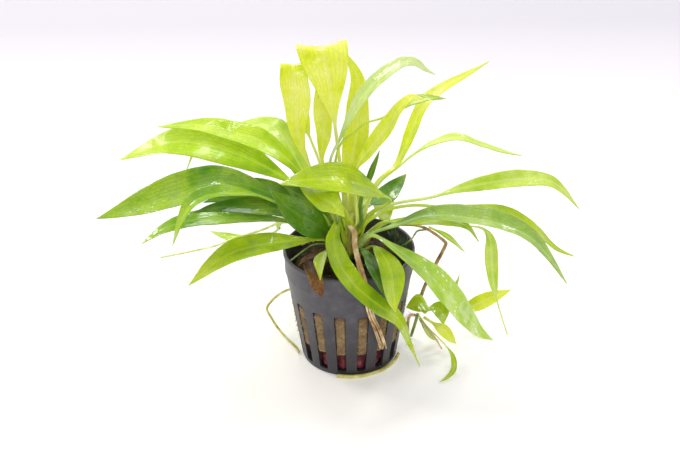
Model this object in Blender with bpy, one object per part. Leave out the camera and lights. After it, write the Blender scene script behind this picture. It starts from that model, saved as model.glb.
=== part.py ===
"""Potted echinodorus: a rosette of narrow leaves growing out of a slotted plastic net pot.

The origin is the centre of the pot's flat base, +Z is up and -Y is the front.
Every size and place below is in millimetres; MM turns them into Blender's metres.
"""
import math
from collections import namedtuple

import bmesh
import bpy
from mathutils import Vector

MM = 0.001
GAP = 0.4                   # clearance between pieces that rest on each other

# Net pot
POT_HEIGHT = 48.8
POT_RIM_RADIUS = 26.0
POT_TOP_RADIUS = 25.5       # wall just under the rim
POT_BAND_HEIGHT = 39.5      # lower edge of the slightly thicker plain band
POT_BAND_STEP = 0.3
POT_FOOT_RADIUS = 19.5
POT_FOOT_CHAMFER = 0.8
POT_WALL = 1.1
POT_FLOOR = 1.2
POT_SIDES = 56
SLOT_COUNT = 16
SLOT_PHASE = -77.2          # degrees, the direction of one slot near the front
SLOT_FOOT_WIDTH = 3.6
SLOT_HEAD_WIDTH = 4.5
SLOT_BOTTOM = 2.4
SLOT_TOP = 30.5
FLOOR_SLOT_START = 9.0      # shorter slots drain the floor, one below each slot of the wall
FLOOR_SLOT_END = 15.0
FLOOR_SLOT_WIDTH = 2.6

# Filling of the pot
WOOL_TOP = 44.0
WOOL_BOTTOM = 10.0
WOOL_TOP_RADIUS = 21.5
WOOL_DOME = 1.5
DISC_RADIUS = 16.6
DISC_BOTTOM = 3.2
CROWN_BOTTOM = WOOL_TOP + WOOL_DOME + GAP
CROWN_TOP = 61.0
CROWN_RADIUS = 4.4
CROWN_TOP_RADIUS = 3.2

# Leaves
SEAT_CLEARANCE = 1.25       # from the crown's skin to the middle of a petiole's foot
LEAF_STATIONS = 15
PETIOLE_WIDTH = 1.6         # of a full-sized leaf
PETIOLE_SHARE = 0.26        # of the blade's width, for the small leaves
PETIOLE_ROUNDNESS = 0.76    # thickness of a petiole as a share of its width
BLADE_DEPTH = 0.7
EDGE_LIFT = 0.16            # how far the margins rise, as a share of the half width
STEM_SIDES = 6

Leaf = namedtuple("Leaf", "name seat width rolls points facing start belly end swell slim",
                  defaults=(None, 0.22, 0.45, 1.0, 1.3, 1.0))

# Each leaf: its seat on the crown (degrees, height), the blade's full width, how far the blade is
# rolled about its midrib at the foot, the middle and the tip (degrees), and the places its midrib
# passes through, the last being the tip. facing is the direction of the underside of an upright
# leaf. start and end are where the blade begins and ends along the leaf, belly is where it is
# widest, and swell and slim say how late it widens towards the belly and how soon it narrows after.
LEAVES = [
    Leaf("leaf_left_1", (165, 57.5), 12.5, (-10, -15, -10),
         [(-21, 3, 83), (-32, 6, 91), (-43, 9, 94), (-56, 12, 96), (-74, 16, 94)]),
    Leaf("leaf_left_2", (172, 54), 16, (-20, -32, -20),
         [(-19, 5, 72), (-32, 10, 79), (-42, 13, 83), (-56, 17, 86), (-70, 20, 85.5),
          (-82, 22, 81), (-92, 24, 76)], belly=0.5),
    Leaf("leaf_left_3", (140, 57.5), 12, (-15, -10, 0),
         [(-19, 14, 77), (-23, 20, 83), (-30, 26, 89), (-43, 30, 87), (-56, 33, 81),
          (-62, 34, 76), (-67, 33, 66)], start=0.1, belly=0.3),
    Leaf("leaf_left_4", (190, 50.5), 15.5, (-10, -25, -25),
         [(-19, -3, 68), (-26, -5, 73), (-39, -7, 80), (-50, -9, 82), (-63, -11, 79),
          (-78, -13, 75), (-94, -16, 71)], belly=0.58),
    Leaf("leaf_left_5", (215, 58), 8.5, (0, -5, -10),
         [(-24, -11, 73), (-36, -15, 80), (-49, -19, 82), (-56, -23, 81), (-61, -24, 74),
          (-65, -25, 64)], start=0.4),
    Leaf("leaf_left_6", (160, 50.5), 11, (0, -25, -20),
         [(-15, 1, 64), (-24, 1, 69), (-36, 0, 74), (-47, -1, 72), (-56, -2, 70)]),
    Leaf("leaf_left_7", (216, 50.5), 10, (0, -20, -15),
         [(-15, -8, 63), (-26, -9, 70), (-39, -12, 73), (-50, -14, 74), (-58, -16, 73)]),
    Leaf("leaf_left_8", (186, 48), 10, (0, -8, -10),
         [(-10, -5, 56), (-19, -6, 62), (-30, -8, 66), (-45, -9, 67), (-60, -11, 67),
          (-70, -14, 65), (-78, -18, 61)], belly=0.6),
    Leaf("leaf_left_9", (209, 47), 11.5, (0, -15, -15),
         [(-8.5, -9.5, 57), (-12, -13, 59.5), (-21, -18.5, 62), (-32, -22, 62.5), (-42, -26, 62),
          (-50, -30, 59), (-59, -35, 53)], belly=0.5),
    Leaf("leaf_left_10", (232, 53), 13.5, (-30, -60, -55),
         [(-10, -9, 62), (-16, -12.5, 68), (-22, -15.5, 74), (-26, -17, 79.5), (-29, -17, 83)],
         start=0.1),
    Leaf("leaf_left_11", (194, 57), 9, (-20, -30, -30),
         [(-9, -2, 65), (-16, -3, 71), (-22, -6, 77), (-25, -8, 81)]),
    Leaf("leaf_centre_1", (345, 57.5), 17, (0, -20, -20),
         [(10, -1, 65), (16, -1, 69), (12, -6, 75), (4, -10, 81), (-5, -14, 85), (-16, -18, 87),
          (-25, -21, 87)], facing=200, start=0.3),
    Leaf("leaf_centre_2", (275, 61), 12, (0, -20, -20),
         [(-3, -8, 71), (-9, -12, 78.5), (-13, -16.5, 82), (-11, -20.5, 81.5), (-6, -22.5, 79.5),
          (-1.5, -23.5, 74.5)], start=0.3, belly=0.5),
    Leaf("leaf_upright_1", (185, 61), 11, (10, 15, 0),
         [(-15, 4, 82), (-19, 5, 96), (-19, 6, 108), (-20, 7, 116), (-20, 9, 120),
          (-21, 14, 119), (-22, 18, 110)], facing=100, start=0.3, belly=0.6),
    Leaf("leaf_upright_2", (95, 61), 19, (0, -15, 0),
         [(-3, 2, 83), (-4, 2, 92), (-5, 3, 101), (-6, 4, 109), (-7, 5, 118), (-8, 6, 124),
          (-9, 9, 127), (-10, 14, 126), (-11, 19, 116)], facing=90, start=0.4, belly=0.72,
         swell=1.8),
    Leaf("leaf_upright_3", (68, 61), 10, (0, -10, -20),
         [(1, 6, 73), (1, 8, 80), (3, 10, 90), (4, 12, 102), (4, 14, 113), (1, 16, 120),
          (-2, 17, 124)], facing=85, start=0.08),
    Leaf("leaf_upright_4", (128, 61), 7.5, (0, -25, -20),
         [(-10, 11, 81), (-9, 13, 93), (-10, 15, 105), (-11, 17, 114)], facing=90,
         start=0.35, belly=0.55),
    Leaf("leaf_upright_5", (156, 61), 6, (0, -20, -20),
         [(-11, 8, 82), (-16, 10, 96), (-18, 11, 104), (-20, 12, 112)], facing=90, start=0.6),
    Leaf("leaf_upright_6", (215, 61), 8.5, (0, 30, 30),
         [(-7, -3, 86), (-3, -4, 97), (1, -5, 106), (6, -6, 115), (13, -7, 123), (20, -8, 128),
          (24, -9, 128), (27, -10, 126), (31, -11, 124)], start=0.35),
    Leaf("leaf_upright_7", (245, 61), 6, (0, 10, 10),
         [(-5, -4, 86), (-2, -4, 96), (2, -4, 99), (6, -2, 102), (13, 1, 103), (23, 1, 109),
          (30, 0, 111), (36, -1, 111)], start=0.7),
    Leaf("leaf_upright_8", (322, 61), 9, (0, 40, 30),
         [(3, 0, 82), (8, -3, 92), (15, -6, 103), (19, -8, 111), (23, -9, 115), (28, -10, 114)],
         start=0.2, belly=0.55),
    Leaf("leaf_right_1", (5, 57.5), 6.5, (0, 20, 20),
         [(11, 4, 75), (18, 5, 81), (22, 6, 89), (25, 7, 97), (29, 8, 106), (35, 9, 111),
          (44, 10, 116), (53, 11, 121)]),
    Leaf("leaf_right_2", (29, 57.5), 7, (0, 0, 0),
         [(12, 7, 73), (20, 8, 80), (25, 9, 84), (32, 10, 88), (42, 11, 90), (51, 11, 87),
          (60, 11, 84), (68, 11, 82)], start=0.42),
    Leaf("leaf_right_3", (15, 54), 8.5, (0, 25, 25),
         [(8, 2, 62), (18, 3, 66), (32, 4, 68), (43, 5, 71), (55, 6, 73), (67, 7, 74),
          (78, 7, 73), (83, 6, 70), (91, 5, 61)], start=0.33, belly=0.5),
    Leaf("leaf_right_4", (342, 54), 7.5, (0, 15, 15),
         [(7, -6, 63), (16, -8, 69.5), (24, -8, 71), (31, -7, 70), (38, -7, 69), (48, -7, 68),
          (62, -6, 65), (73, -5, 57), (81, -4, 49), (89, -4, 45)], start=0.35),
    Leaf("leaf_right_5", (324, 53), 11, (0, 10, 10),
         [(8, -10, 60), (19, -12, 65), (30, -13, 69), (45, -16, 69), (58, -18, 67),
          (67, -20, 63), (74, -22, 56), (82, -25, 45)], start=0.08, belly=0.5),
    Leaf("leaf_right_6", (348, 50.5), 7, (0, 10, 10),
         [(12, -4, 61), (23, -6, 63), (37, -8, 64), (45, -9, 62), (50, -9, 55)]),
    Leaf("leaf_right_7", (8, 50.5), 5.5, (0, 0, 0),
         [(14, 4, 57), (28, 6, 56), (44, 8, 53), (53, 9, 51.5), (56.5, 9, 48), (58, 8, 36),
          (60, 8, 23), (63, 7, 12), (66.5, 5, 1.5)], facing=270, start=0.48, belly=0.42,
         end=0.82, slim=0.6),
    Leaf("leaf_right_8", (305, 50), 14, (0, 30, 35),
         [(9, -13, 61), (17, -16, 57), (26, -17, 50), (35, -15, 39), (44, -10, 25), (53, -3, 10),
          (60, 2, 1.5)], start=0.12, belly=0.5),
    Leaf("leaf_small_1", (42, 60.5), 10, (0, 10, 10),
         [(8, 8, 63), (16, 11, 66), (19, 12, 69), (23, 13, 74)]),
    Leaf("leaf_small_2", (352, 61), 4, (0, -30, -30),
         [(5, 1, 70), (8, 2, 77), (12, 3, 89)], facing=60),
    Leaf("leaf_front_1", (255, 54), 10, (0, 10, 10),
         [(-4, -9, 64), (-6, -16, 61), (-4, -24, 56), (1, -31, 51), (9, -32, 43),
          (18, -28, 33), (23, -24, 19), (28, -18, 3)], start=0.02, belly=0.3, swell=1.0, slim=1.4),
    Leaf("leaf_front_2", (261, 47.5), 8, (0, 40, 40),
         [(-9, -15.5, 56), (-10.5, -23, 55.7), (-11, -29, 51)], start=0.35),
    Leaf("leaf_front_3", (300, 47), 11, (0, -10, -10),
         [(9, -11, 55), (12, -18, 56), (15, -25, 53), (16, -29, 46), (17, -30, 37)],
         belly=0.6),
    Leaf("leaf_front_4", (278, 47), 8, (0, -30, -30),
         [(5, -13, 55), (8, -20, 53), (9, -25, 52), (11, -28, 49), (14, -29, 43)]),
    Leaf("leaf_back_1", (62, 54), 11, (0, 0, 0),
         [(6, 12, 60), (10, 25, 58), (14, 40, 49), (16, 50, 36), (17, 56, 24)]),
    Leaf("leaf_back_2", (86, 54), 13, (0, 10, 10),
         [(2, 14, 64), (4, 28, 63), (5, 43, 54), (6, 54, 40), (7, 60, 28)]),
    Leaf("leaf_back_3", (110, 54), 12, (0, -10, -10),
         [(-4, 14, 63), (-7, 29, 63), (-10, 45, 54), (-12, 57, 40), (-13, 63, 28)]),
    Leaf("leaf_back_4", (135, 52), 11, (0, 10, 10),
         [(-9, 12, 58), (-16, 25, 57), (-23, 40, 48), (-29, 52, 35), (-32, 58, 24)]),
]

GREEN_BRIGHT = (0.40, 0.62, 0.06)
GREEN_DARK = (0.10, 0.26, 0.05)
DARK_LEAVES = {"leaf_left_4", "leaf_left_6", "leaf_left_7", "leaf_left_10", "leaf_left_11",
               "leaf_small_1", "leaf_small_2", "leaf_front_4"}


def clear_scene():
    for old in list(bpy.data.objects):
        bpy.data.objects.remove(old, do_unlink=True)


def make_material(name, colour, roughness):
    material = bpy.data.materials.new(name)
    material.use_nodes = True
    shader = material.node_tree.nodes["Principled BSDF"]
    shader.inputs["Base Color"].default_value = (*colour, 1.0)
    shader.inputs["Roughness"].default_value = roughness
    shader.inputs["Metallic"].default_value = 0.0
    return material


def add_object(name, vertices, faces, material):
    """Turns vertices in millimetres into one closed, smooth-shaded object."""
    mesh = bpy.data.meshes.new(name)
    mesh.from_pydata([Vector(v) * MM for v in vertices], [], faces)
    builder = bmesh.new()
    builder.from_mesh(mesh)
    bmesh.ops.recalc_face_normals(builder, faces=builder.faces)
    builder.to_mesh(mesh)
    builder.free()
    mesh.shade_smooth()
    mesh.set_sharp_from_angle(angle=math.radians(40))
    mesh.materials.append(material)
    made = bpy.data.objects.new(name, mesh)
    bpy.context.collection.objects.link(made)
    return made


def curve_through(points, fineness=12):
    """A smooth centripetal curve through the points, as a dense list."""
    pts = [Vector(p) for p in points]
    pts = [2 * pts[0] - pts[1]] + pts + [2 * pts[-1] - pts[-2]]
    dense = []
    for i in range(1, len(pts) - 2):
        p0, p1, p2, p3 = pts[i - 1:i + 3]
        t0 = 0.0
        t1 = t0 + math.sqrt((p1 - p0).length)
        t2 = t1 + math.sqrt((p2 - p1).length)
        t3 = t2 + math.sqrt((p3 - p2).length)
        for step in range(fineness):
            t = t1 + (t2 - t1) * step / fineness
            a1 = p0.lerp(p1, (t - t0) / (t1 - t0))
            a2 = p1.lerp(p2, (t - t1) / (t2 - t1))
            a3 = p2.lerp(p3, (t - t2) / (t3 - t2))
            b1 = a1.lerp(a2, (t - t0) / (t2 - t0))
            b2 = a2.lerp(a3, (t - t1) / (t3 - t1))
            dense.append(b1.lerp(b2, (t - t1) / (t2 - t1)))
    dense.append(pts[-2])
    return dense


def even_stations(dense, count):
    """Points at equal distances along a dense line, each with its direction and its share."""
    lengths = [0.0]
    for before, after in zip(dense, dense[1:]):
        lengths.append(lengths[-1] + (after - before).length)
    stations = []
    leg = 0
    for i in range(count):
        wanted = lengths[-1] * i / (count - 1)
        while leg < len(dense) - 2 and lengths[leg + 1] < wanted:
            leg += 1
        part = (wanted - lengths[leg]) / (lengths[leg + 1] - lengths[leg])
        stations.append(dense[leg].lerp(dense[leg + 1], part))
    tangents = []
    for i in range(count):
        ahead = stations[min(i + 1, count - 1)]
        behind = stations[max(i - 1, 0)]
        tangents.append((ahead - behind).normalized())
    return [(p, t, i / (count - 1)) for i, (p, t) in enumerate(zip(stations, tangents))]


def ring_faces(rings, size):
    """Quads between rings of equal size that are numbered one after the other."""
    faces = []
    for ring in range(rings - 1):
        for side in range(size):
            after = (side + 1) % size
            faces.append((ring * size + side, ring * size + after,
                          (ring + 1) * size + after, (ring + 1) * size + side))
    return faces


def blend_three(values, share):
    """Reads a foot, middle and tip value at a share of the length."""
    foot, middle, tip = values
    if share < 0.5:
        return foot + (middle - foot) * share * 2
    return middle + (tip - middle) * (share * 2 - 1)


def blade_share(leaf, share):
    """How wide the blade is at a share of the leaf's length, from 0 at its foot and tip to 1."""
    along = (share - leaf.start) / (leaf.end - leaf.start)
    if along <= 0 or along >= 1:
        return 0.0
    if along < leaf.belly:
        return math.sin(math.pi / 2 * along / leaf.belly) ** leaf.swell
    return math.cos(math.pi / 2 * (along - leaf.belly) / (1 - leaf.belly)) ** leaf.slim


def leaf_seat(leaf):
    angle, height = leaf.seat
    rise = (height - CROWN_BOTTOM) / (CROWN_TOP - CROWN_BOTTOM)
    reach = CROWN_RADIUS + (CROWN_TOP_RADIUS - CROWN_RADIUS) * rise + SEAT_CLEARANCE
    turn = math.radians(angle)
    return Vector((reach * math.cos(turn), reach * math.sin(turn), height))


def make_leaf(leaf, material):
    """One leaf: a petiole that widens into a blade with raised margins and a keeled midrib."""
    path = [Vector(point) for point in leaf.points]
    if leaf.seat:
        path.insert(0, leaf_seat(leaf))
    foot, tip = path[0], path[-1]
    if leaf.facing is None:
        facing = math.atan2(tip.y - foot.y, tip.x - foot.x)
    else:
        facing = math.radians(leaf.facing)
    sideways = Vector((-math.sin(facing), math.cos(facing), 0))
    petiole = min(PETIOLE_WIDTH, leaf.width * PETIOLE_SHARE)
    stem_depth = petiole * PETIOLE_ROUNDNESS
    stations = even_stations(curve_through(path), LEAF_STATIONS)
    vertices = []
    for point, tangent, share in stations[:-1]:
        across = (sideways - tangent * sideways.dot(tangent)).normalized()
        upper = tangent.cross(across)
        roll = math.radians(blend_three(leaf.rolls, share))
        across, upper = (across * math.cos(roll) + upper * math.sin(roll),
                         upper * math.cos(roll) - across * math.sin(roll))
        blade = blade_share(leaf, share)
        taper = 1 - 0.6 * share
        half = max(petiole / 2 * taper, leaf.width / 2 * blade)
        depth = (stem_depth + (BLADE_DEPTH - stem_depth) * min(1, blade * 2)) * taper
        lift = EDGE_LIFT * half * blade
        vertices += [point - across * half + upper * lift, point - upper * depth / 2,
                     point + across * half + upper * lift, point + upper * depth / 2]
    last = len(vertices)
    vertices.append(tip)
    faces = ring_faces(LEAF_STATIONS - 1, 4)
    faces.append((0, 3, 2, 1))
    faces += [(last - 4 + side, last - 4 + (side + 1) % 4, last) for side in range(4)]
    return add_object(leaf.name, vertices, faces, material)


def make_stem(name, points, radii, material, stations=14, sides=STEM_SIDES):
    """A round stem or root along the points, from the first radius to the second."""
    vertices = []
    across = None
    for point, tangent, share in even_stations(curve_through(points), stations):
        if across is None:
            across = tangent.cross(Vector((0.3, 0.2, 1))).normalized()
        across = (across - tangent * across.dot(tangent)).normalized()
        upper = tangent.cross(across)
        radius = radii[0] + (radii[1] - radii[0]) * share
        for side in range(sides):
            turn = 2 * math.pi * side / sides
            vertices.append(point + (across * math.cos(turn) + upper * math.sin(turn)) * radius)
    faces = ring_faces(stations, sides)
    faces.append(tuple(range(sides - 1, -1, -1)))
    faces.append(tuple(range((stations - 1) * sides, stations * sides)))
    return add_object(name, vertices, faces, material)


def make_turned(name, profile, sides, material):
    """A closed turned body from (radius, height) pairs, the first and last on the axis."""
    vertices = []
    for radius, height in profile[1:-1]:
        for side in range(sides):
            turn = 2 * math.pi * side / sides
            vertices.append((radius * math.cos(turn), radius * math.sin(turn), height))
    rings = len(profile) - 2
    faces = ring_faces(rings, sides)
    low = len(vertices)
    vertices += [(0, 0, profile[0][1]), (0, 0, profile[-1][1])]
    for side in range(sides):
        after = (side + 1) % sides
        faces.append((after, side, low))
        faces.append(((rings - 1) * sides + side, (rings - 1) * sides + after, low + 1))
    return add_object(name, vertices, faces, material)


def pot_inside(height):
    """The inside of the wall."""
    low = POT_FLOOR + POT_FOOT_CHAMFER
    taper = POT_RIM_RADIUS - POT_FOOT_RADIUS
    return POT_FOOT_RADIUS - POT_WALL + taper * (height - low) / (POT_HEIGHT - low)


def make_slot_cutter(number):
    """One slot: a tall block through the wall that widens upwards, and a flat one in the floor."""
    blocks = ((POT_FOOT_RADIUS - 3.5, POT_RIM_RADIUS + 4, SLOT_BOTTOM, SLOT_TOP, SLOT_FOOT_WIDTH,
               SLOT_HEAD_WIDTH),
              (FLOOR_SLOT_START, FLOOR_SLOT_END, -1.0, POT_FLOOR + 1.0, FLOOR_SLOT_WIDTH,
               FLOOR_SLOT_WIDTH))
    builder = bmesh.new()
    for inner, outer, low, high, low_width, high_width in blocks:
        corners = bmesh.ops.create_cube(builder, size=1.0)["verts"]
        for corner in corners:
            corner.co.x = (inner + outer) / 2 + corner.co.x * (outer - inner)
            corner.co.y *= high_width if corner.co.z > 0 else low_width
            corner.co.z = (low + high) / 2 + corner.co.z * (high - low)
            corner.co *= MM
    mesh = bpy.data.meshes.new("slot_cutter")
    builder.to_mesh(mesh)
    builder.free()
    cutter = bpy.data.objects.new(f"slot_cutter_{number}", mesh)
    cutter.rotation_euler.z = math.radians(SLOT_PHASE + 360 / SLOT_COUNT * number)
    cutter.hide_render = True
    cutter.display_type = "WIRE"
    return cutter


def make_net_pot(material):
    """The moulded pot: a tapered cup with a thicker plain band and slots in the lower wall."""
    band_radius = POT_TOP_RADIUS - POT_BAND_STEP
    lip = POT_HEIGHT - 2.0
    profile = [(0, 0), (POT_FOOT_RADIUS - POT_FOOT_CHAMFER, 0), (POT_FOOT_RADIUS, POT_FOOT_CHAMFER),
               (band_radius - 0.2, POT_BAND_HEIGHT), (band_radius + 0.2, POT_BAND_HEIGHT + 0.4),
               (POT_TOP_RADIUS, lip), (POT_RIM_RADIUS, lip + 0.3), (POT_RIM_RADIUS, POT_HEIGHT - 0.4),
               (POT_RIM_RADIUS - 0.4, POT_HEIGHT), (POT_RIM_RADIUS - POT_WALL, POT_HEIGHT),
               (POT_FOOT_RADIUS - POT_WALL, POT_FLOOR + POT_FOOT_CHAMFER),
               (POT_FOOT_RADIUS - POT_WALL - POT_FOOT_CHAMFER, POT_FLOOR), (0, POT_FLOOR)]
    pot = make_turned("net_pot", profile, POT_SIDES, material)
    slots = bpy.data.collections.new("slots")
    bpy.context.scene.collection.children.link(slots)
    for number in range(SLOT_COUNT):
        slots.objects.link(make_slot_cutter(number))
    cut = pot.modifiers.new("slots", "BOOLEAN")
    cut.operation = "DIFFERENCE"
    cut.solver = "EXACT"
    cut.operand_type = "COLLECTION"
    cut.collection = slots
    cut.use_self = True
    return pot


def make_rock_wool(material):
    """The fibrous plug: it fills the pot from above the disc to just under the rim."""
    low = WOOL_BOTTOM + 1.5
    high = WOOL_TOP - 10
    profile = [(0, WOOL_BOTTOM), (pot_inside(low) - GAP - 1.5, WOOL_BOTTOM),
               (pot_inside(low) - GAP, low), (pot_inside(high) - GAP, high),
               (WOOL_TOP_RADIUS, WOOL_TOP - 1.5), (WOOL_TOP_RADIUS - 2.5, WOOL_TOP),
               (0, WOOL_TOP + WOOL_DOME)]
    return make_turned("rock_wool", profile, 28, material)


def make_red_disc(material):
    """The dark red disc that lies under the wool."""
    top = WOOL_BOTTOM - GAP
    profile = [(0, DISC_BOTTOM), (DISC_RADIUS - 1, DISC_BOTTOM), (DISC_RADIUS, DISC_BOTTOM + 1),
               (DISC_RADIUS, top - 1), (DISC_RADIUS - 1, top), (0, top)]
    return make_turned("red_disc", profile, 24, material)


def make_crown(material):
    """The short rootstock in the middle, with the petioles seated round it."""
    profile = [(0, CROWN_BOTTOM), (CROWN_RADIUS * 0.8, CROWN_BOTTOM + 0.2),
               (CROWN_RADIUS, CROWN_BOTTOM + 2), (CROWN_RADIUS * 0.93, 52),
               (CROWN_TOP_RADIUS, CROWN_TOP - 2), (CROWN_TOP_RADIUS * 0.6, CROWN_TOP - 0.4),
               (0, CROWN_TOP)]
    return make_turned("crown", profile, 14, material)


def make_dead_leaf(material):
    """A withered brown leaf that has folded down over the rim."""
    leaf = Leaf("dead_leaf", None, 5.5, (0, 0, 0),
                [(-7.6, 0.2, 46.9), (-11, -2, 46.8), (-13, -7, 47), (-13.5, -13.5, 47.8),
                 (-13.3, -21, 50.6), (-12.3, -26.8, 50), (-10.8, -28.5, 43.5)], start=0.1, belly=0.8)
    return make_leaf(leaf, material)


def make_stems_and_roots(brown, olive, pale, yellow):
    """Everything thin and round: the dried stem, the runner, the stolons and the roots."""
    make_stem("dried_stem", [(0, -7, 62), (2, -11, 61), (2, -14, 58), (3, -19, 55), (4, -23, 52.5),
                             (5, -26.5, 50), (6, -27.5, 45), (8, -27, 34), (10, -26, 28),
                             (12, -23.5, 20), (13, -21.5, 15)], (0.8, 1.0), brown, stations=20)
    make_stem("runner", [(6.2, 0, 47.5), (9, 0.5, 53), (13, 1, 56), (21, 2, 57), (27, 3, 56), (31, 4, 54),
                         (37.5, 4.8, 48.5), (38.8, 5, 46.8), (38.3, 5, 45), (35, 5, 37), (31, 5, 27),
                         (29, 6, 18), (29, 6, 14)], (0.5, 0.75), brown, stations=28)
    make_stem("plantlet_stem_1", [(27.6, 6, 12), (25.5, 6, 12), (24.5, 6, 9), (24.5, 6, 4)],
              (0.6, 0.6), brown, stations=6)
    make_stem("plantlet_stem_2", [(28.6, 7, 12), (27.5, 7, 7), (26, 7, 0.8)],
              (0.7, 0.6), olive, stations=5)
    make_stem("root_loop", [(-18.7, 11.8, 22), (-25, 14.5, 20), (-29, 16, 17), (-33, 18, 12),
                            (-35, 17, 9), (-33, 13, 7), (-30, 8, 5), (-26, 3, 3), (-22, -1, 1.2),
                            (-21, -4, 0.9)], (0.55, 0.55), yellow, stations=18)
    foot = POT_FOOT_RADIUS + 1.2
    around = [math.radians(angle) for angle in range(-105, -14, 15)]
    make_stem("root_foot", [(foot * math.cos(a), foot * math.sin(a), 0.8) for a in around],
              (0.75, 0.6), yellow, stations=16)
    make_stem("stolon_left_1", [(-14, 9, 46), (-24, 16, 51), (-37, 26, 42), (-48, 32, 35),
                                 (-58, 38, 28),
                                (-74, 42, 22), (-83, 44, 19)], (0.6, 0.4), pale)
    make_stem("stolon_left_2", [(-12, 12, 46), (-21, 19, 51.5), (-35, 28, 46), (-42, 32, 44)],
              (0.6, 0.8), pale, stations=8)


# Leaves that grow from the runner, from the plantlet at its end and from a stolon at the left.
OUTER_LEAVES = [
    Leaf("runner_leaf", None, 4.5, (0, 0, 0),
         [(31.5, 3, 55.5), (36, 2, 53.5), (41, 1, 50), (46, 1, 45)], start=0.1),
    Leaf("young_leaf_left", None, 5, (0, -10, -10),
         [(-28, 17, 48), (-36, 22, 40), (-47, 28, 37), (-54, 30, 38), (-59, 32, 39)], start=0.4),
    Leaf("plantlet_leaf_1", None, 9, (0, -25, -25),
         [(30.4, 3.5, 15.5), (32, 2, 19), (29, 0, 21.5), (23, -1, 20.5)], start=0.15),
    Leaf("plantlet_leaf_2", None, 8, (0, 25, 25),
         [(31.2, 5, 14), (34, 4, 17), (38, 3, 15.5), (39, 2.5, 9.5)], start=0.15),
    Leaf("plantlet_leaf_3", None, 4, (0, 0, 0),
         [(29, 4.4, 11.5), (31, 3, 8), (34, 2, 4), (37, 2, 2)], start=0.15),
    Leaf("plantlet_leaf_4", None, 5.5, (0, 25, 25),
         [(30.8, 3.2, 12.8), (35, 0, 11.5), (39, -2, 9), (44, -3, 3.5)], start=0.2),
    Leaf("plantlet_leaf_5", None, 2.4, (0, 0, 0),
         [(28.4, 3.4, 14), (32, -4, 12.5), (37, -10, 10), (41, -16, 7), (41, -20, 3),
          (38, -23, 1.2), (35, -25, 0.6)], start=0.5),
    Leaf("plantlet_leaf_6", None, 7, (0, 30, 30),
         [(31, 7.5, 14), (40, 10, 12.5), (51, 12, 12), (60, 12.5, 16), (68, 12.5, 20)],
         start=0.35),
]

clear_scene()
bright = make_material("leaf_bright", GREEN_BRIGHT, 0.35)
dark = make_material("leaf_dark", GREEN_DARK, 0.3)
brown = make_material("stem_brown", (0.35, 0.22, 0.10), 0.6)
olive = make_material("stem_olive", (0.25, 0.30, 0.08), 0.5)
pale = make_material("stem_pale", (0.75, 0.72, 0.25), 0.5)
yellow = make_material("root_yellow", (0.62, 0.55, 0.18), 0.5)
make_net_pot(make_material("pot_plastic", (0.035, 0.033, 0.042), 0.45))
make_rock_wool(make_material("rock_wool", (0.30, 0.20, 0.09), 0.95))
make_red_disc(make_material("red_disc", (0.22, 0.03, 0.04), 0.7))
make_crown(make_material("crown", (0.36, 0.33, 0.12), 0.6))
for leaf in LEAVES:
    make_leaf(leaf, dark if leaf.name in DARK_LEAVES else bright)
make_dead_leaf(make_material("dead_leaf", (0.30, 0.14, 0.04), 0.7))
make_stems_and_roots(brown, olive, pale, yellow)
for leaf in OUTER_LEAVES:
    make_leaf(leaf, bright)
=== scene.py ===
"""The looks of a potted echinodorus: a water plant with a rosette of narrow leaves in a black net pot.

Sizes are in millimetres and become metres through MM. The frame's origin is the middle of the pot's
base, +Z is up, and -Y is the side that faces the camera.
"""
import math
import random
from collections import namedtuple

import bmesh
import bpy
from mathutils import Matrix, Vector, noise


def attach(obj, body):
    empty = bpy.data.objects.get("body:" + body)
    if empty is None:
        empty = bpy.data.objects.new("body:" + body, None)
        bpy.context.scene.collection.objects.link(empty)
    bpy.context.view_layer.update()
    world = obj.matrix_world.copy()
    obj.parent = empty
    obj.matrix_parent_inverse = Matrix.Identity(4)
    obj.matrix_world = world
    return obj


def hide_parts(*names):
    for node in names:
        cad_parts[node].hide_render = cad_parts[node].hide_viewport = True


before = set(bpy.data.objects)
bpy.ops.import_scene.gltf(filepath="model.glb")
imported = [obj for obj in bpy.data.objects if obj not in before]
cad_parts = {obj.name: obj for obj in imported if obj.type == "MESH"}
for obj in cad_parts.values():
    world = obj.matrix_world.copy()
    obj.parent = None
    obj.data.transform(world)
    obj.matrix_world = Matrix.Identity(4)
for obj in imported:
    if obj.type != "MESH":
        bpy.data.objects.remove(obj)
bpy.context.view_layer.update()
MM = 0.001

# The camera stands in front of the pot and looks down on it, near enough that the front leaves
# look larger than the back ones. Its place was worked out from the round rim and foot of the pot.
CAMERA_LENS = 56.33          # on a sensor 36 mm wide
CAMERA_DISTANCE = 415.0
CAMERA_HEIGHT_ANGLE = math.radians(28.8)
CAMERA_ROLL = math.radians(-0.7)
CAMERA_AIM = Vector((-3.4, 0.0, 57.8))
CAMERA_NEAREST = 10.0


def put_in_scene(name, data):
    """A new object in the scene that holds a mesh, a camera or a lamp."""
    made = bpy.data.objects.new(name, data)
    bpy.context.collection.objects.link(made)
    return made


camera_data = bpy.data.cameras.new("camera")
camera_data.lens = CAMERA_LENS
camera_data.clip_start = CAMERA_NEAREST * MM
camera = put_in_scene("camera", camera_data)
camera_back = Vector((0, -math.cos(CAMERA_HEIGHT_ANGLE), math.sin(CAMERA_HEIGHT_ANGLE)))
camera.location = (CAMERA_AIM + camera_back * CAMERA_DISTANCE) * MM
camera.rotation_euler = camera_back.to_track_quat("Z", "Y").to_euler()
camera.rotation_euler.rotate_axis("Z", CAMERA_ROLL)
bpy.context.scene.camera = camera


# The studio is a table of white paper. Four small soft lights behind and above it make the glints
# on the wet leaves, and a wide one fills in from the front, so that the thin leaves glow.
TABLE_SIZE = 6000.0
PAPER_SHADE_DEPTH = 430.0        # how far behind the pot the painted shade has turned the paper grey
PAPER_GLOW = 0.2
WORLD_STRENGTH = 0.64
LAMP_AIM_HEIGHT = 60.0
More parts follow.
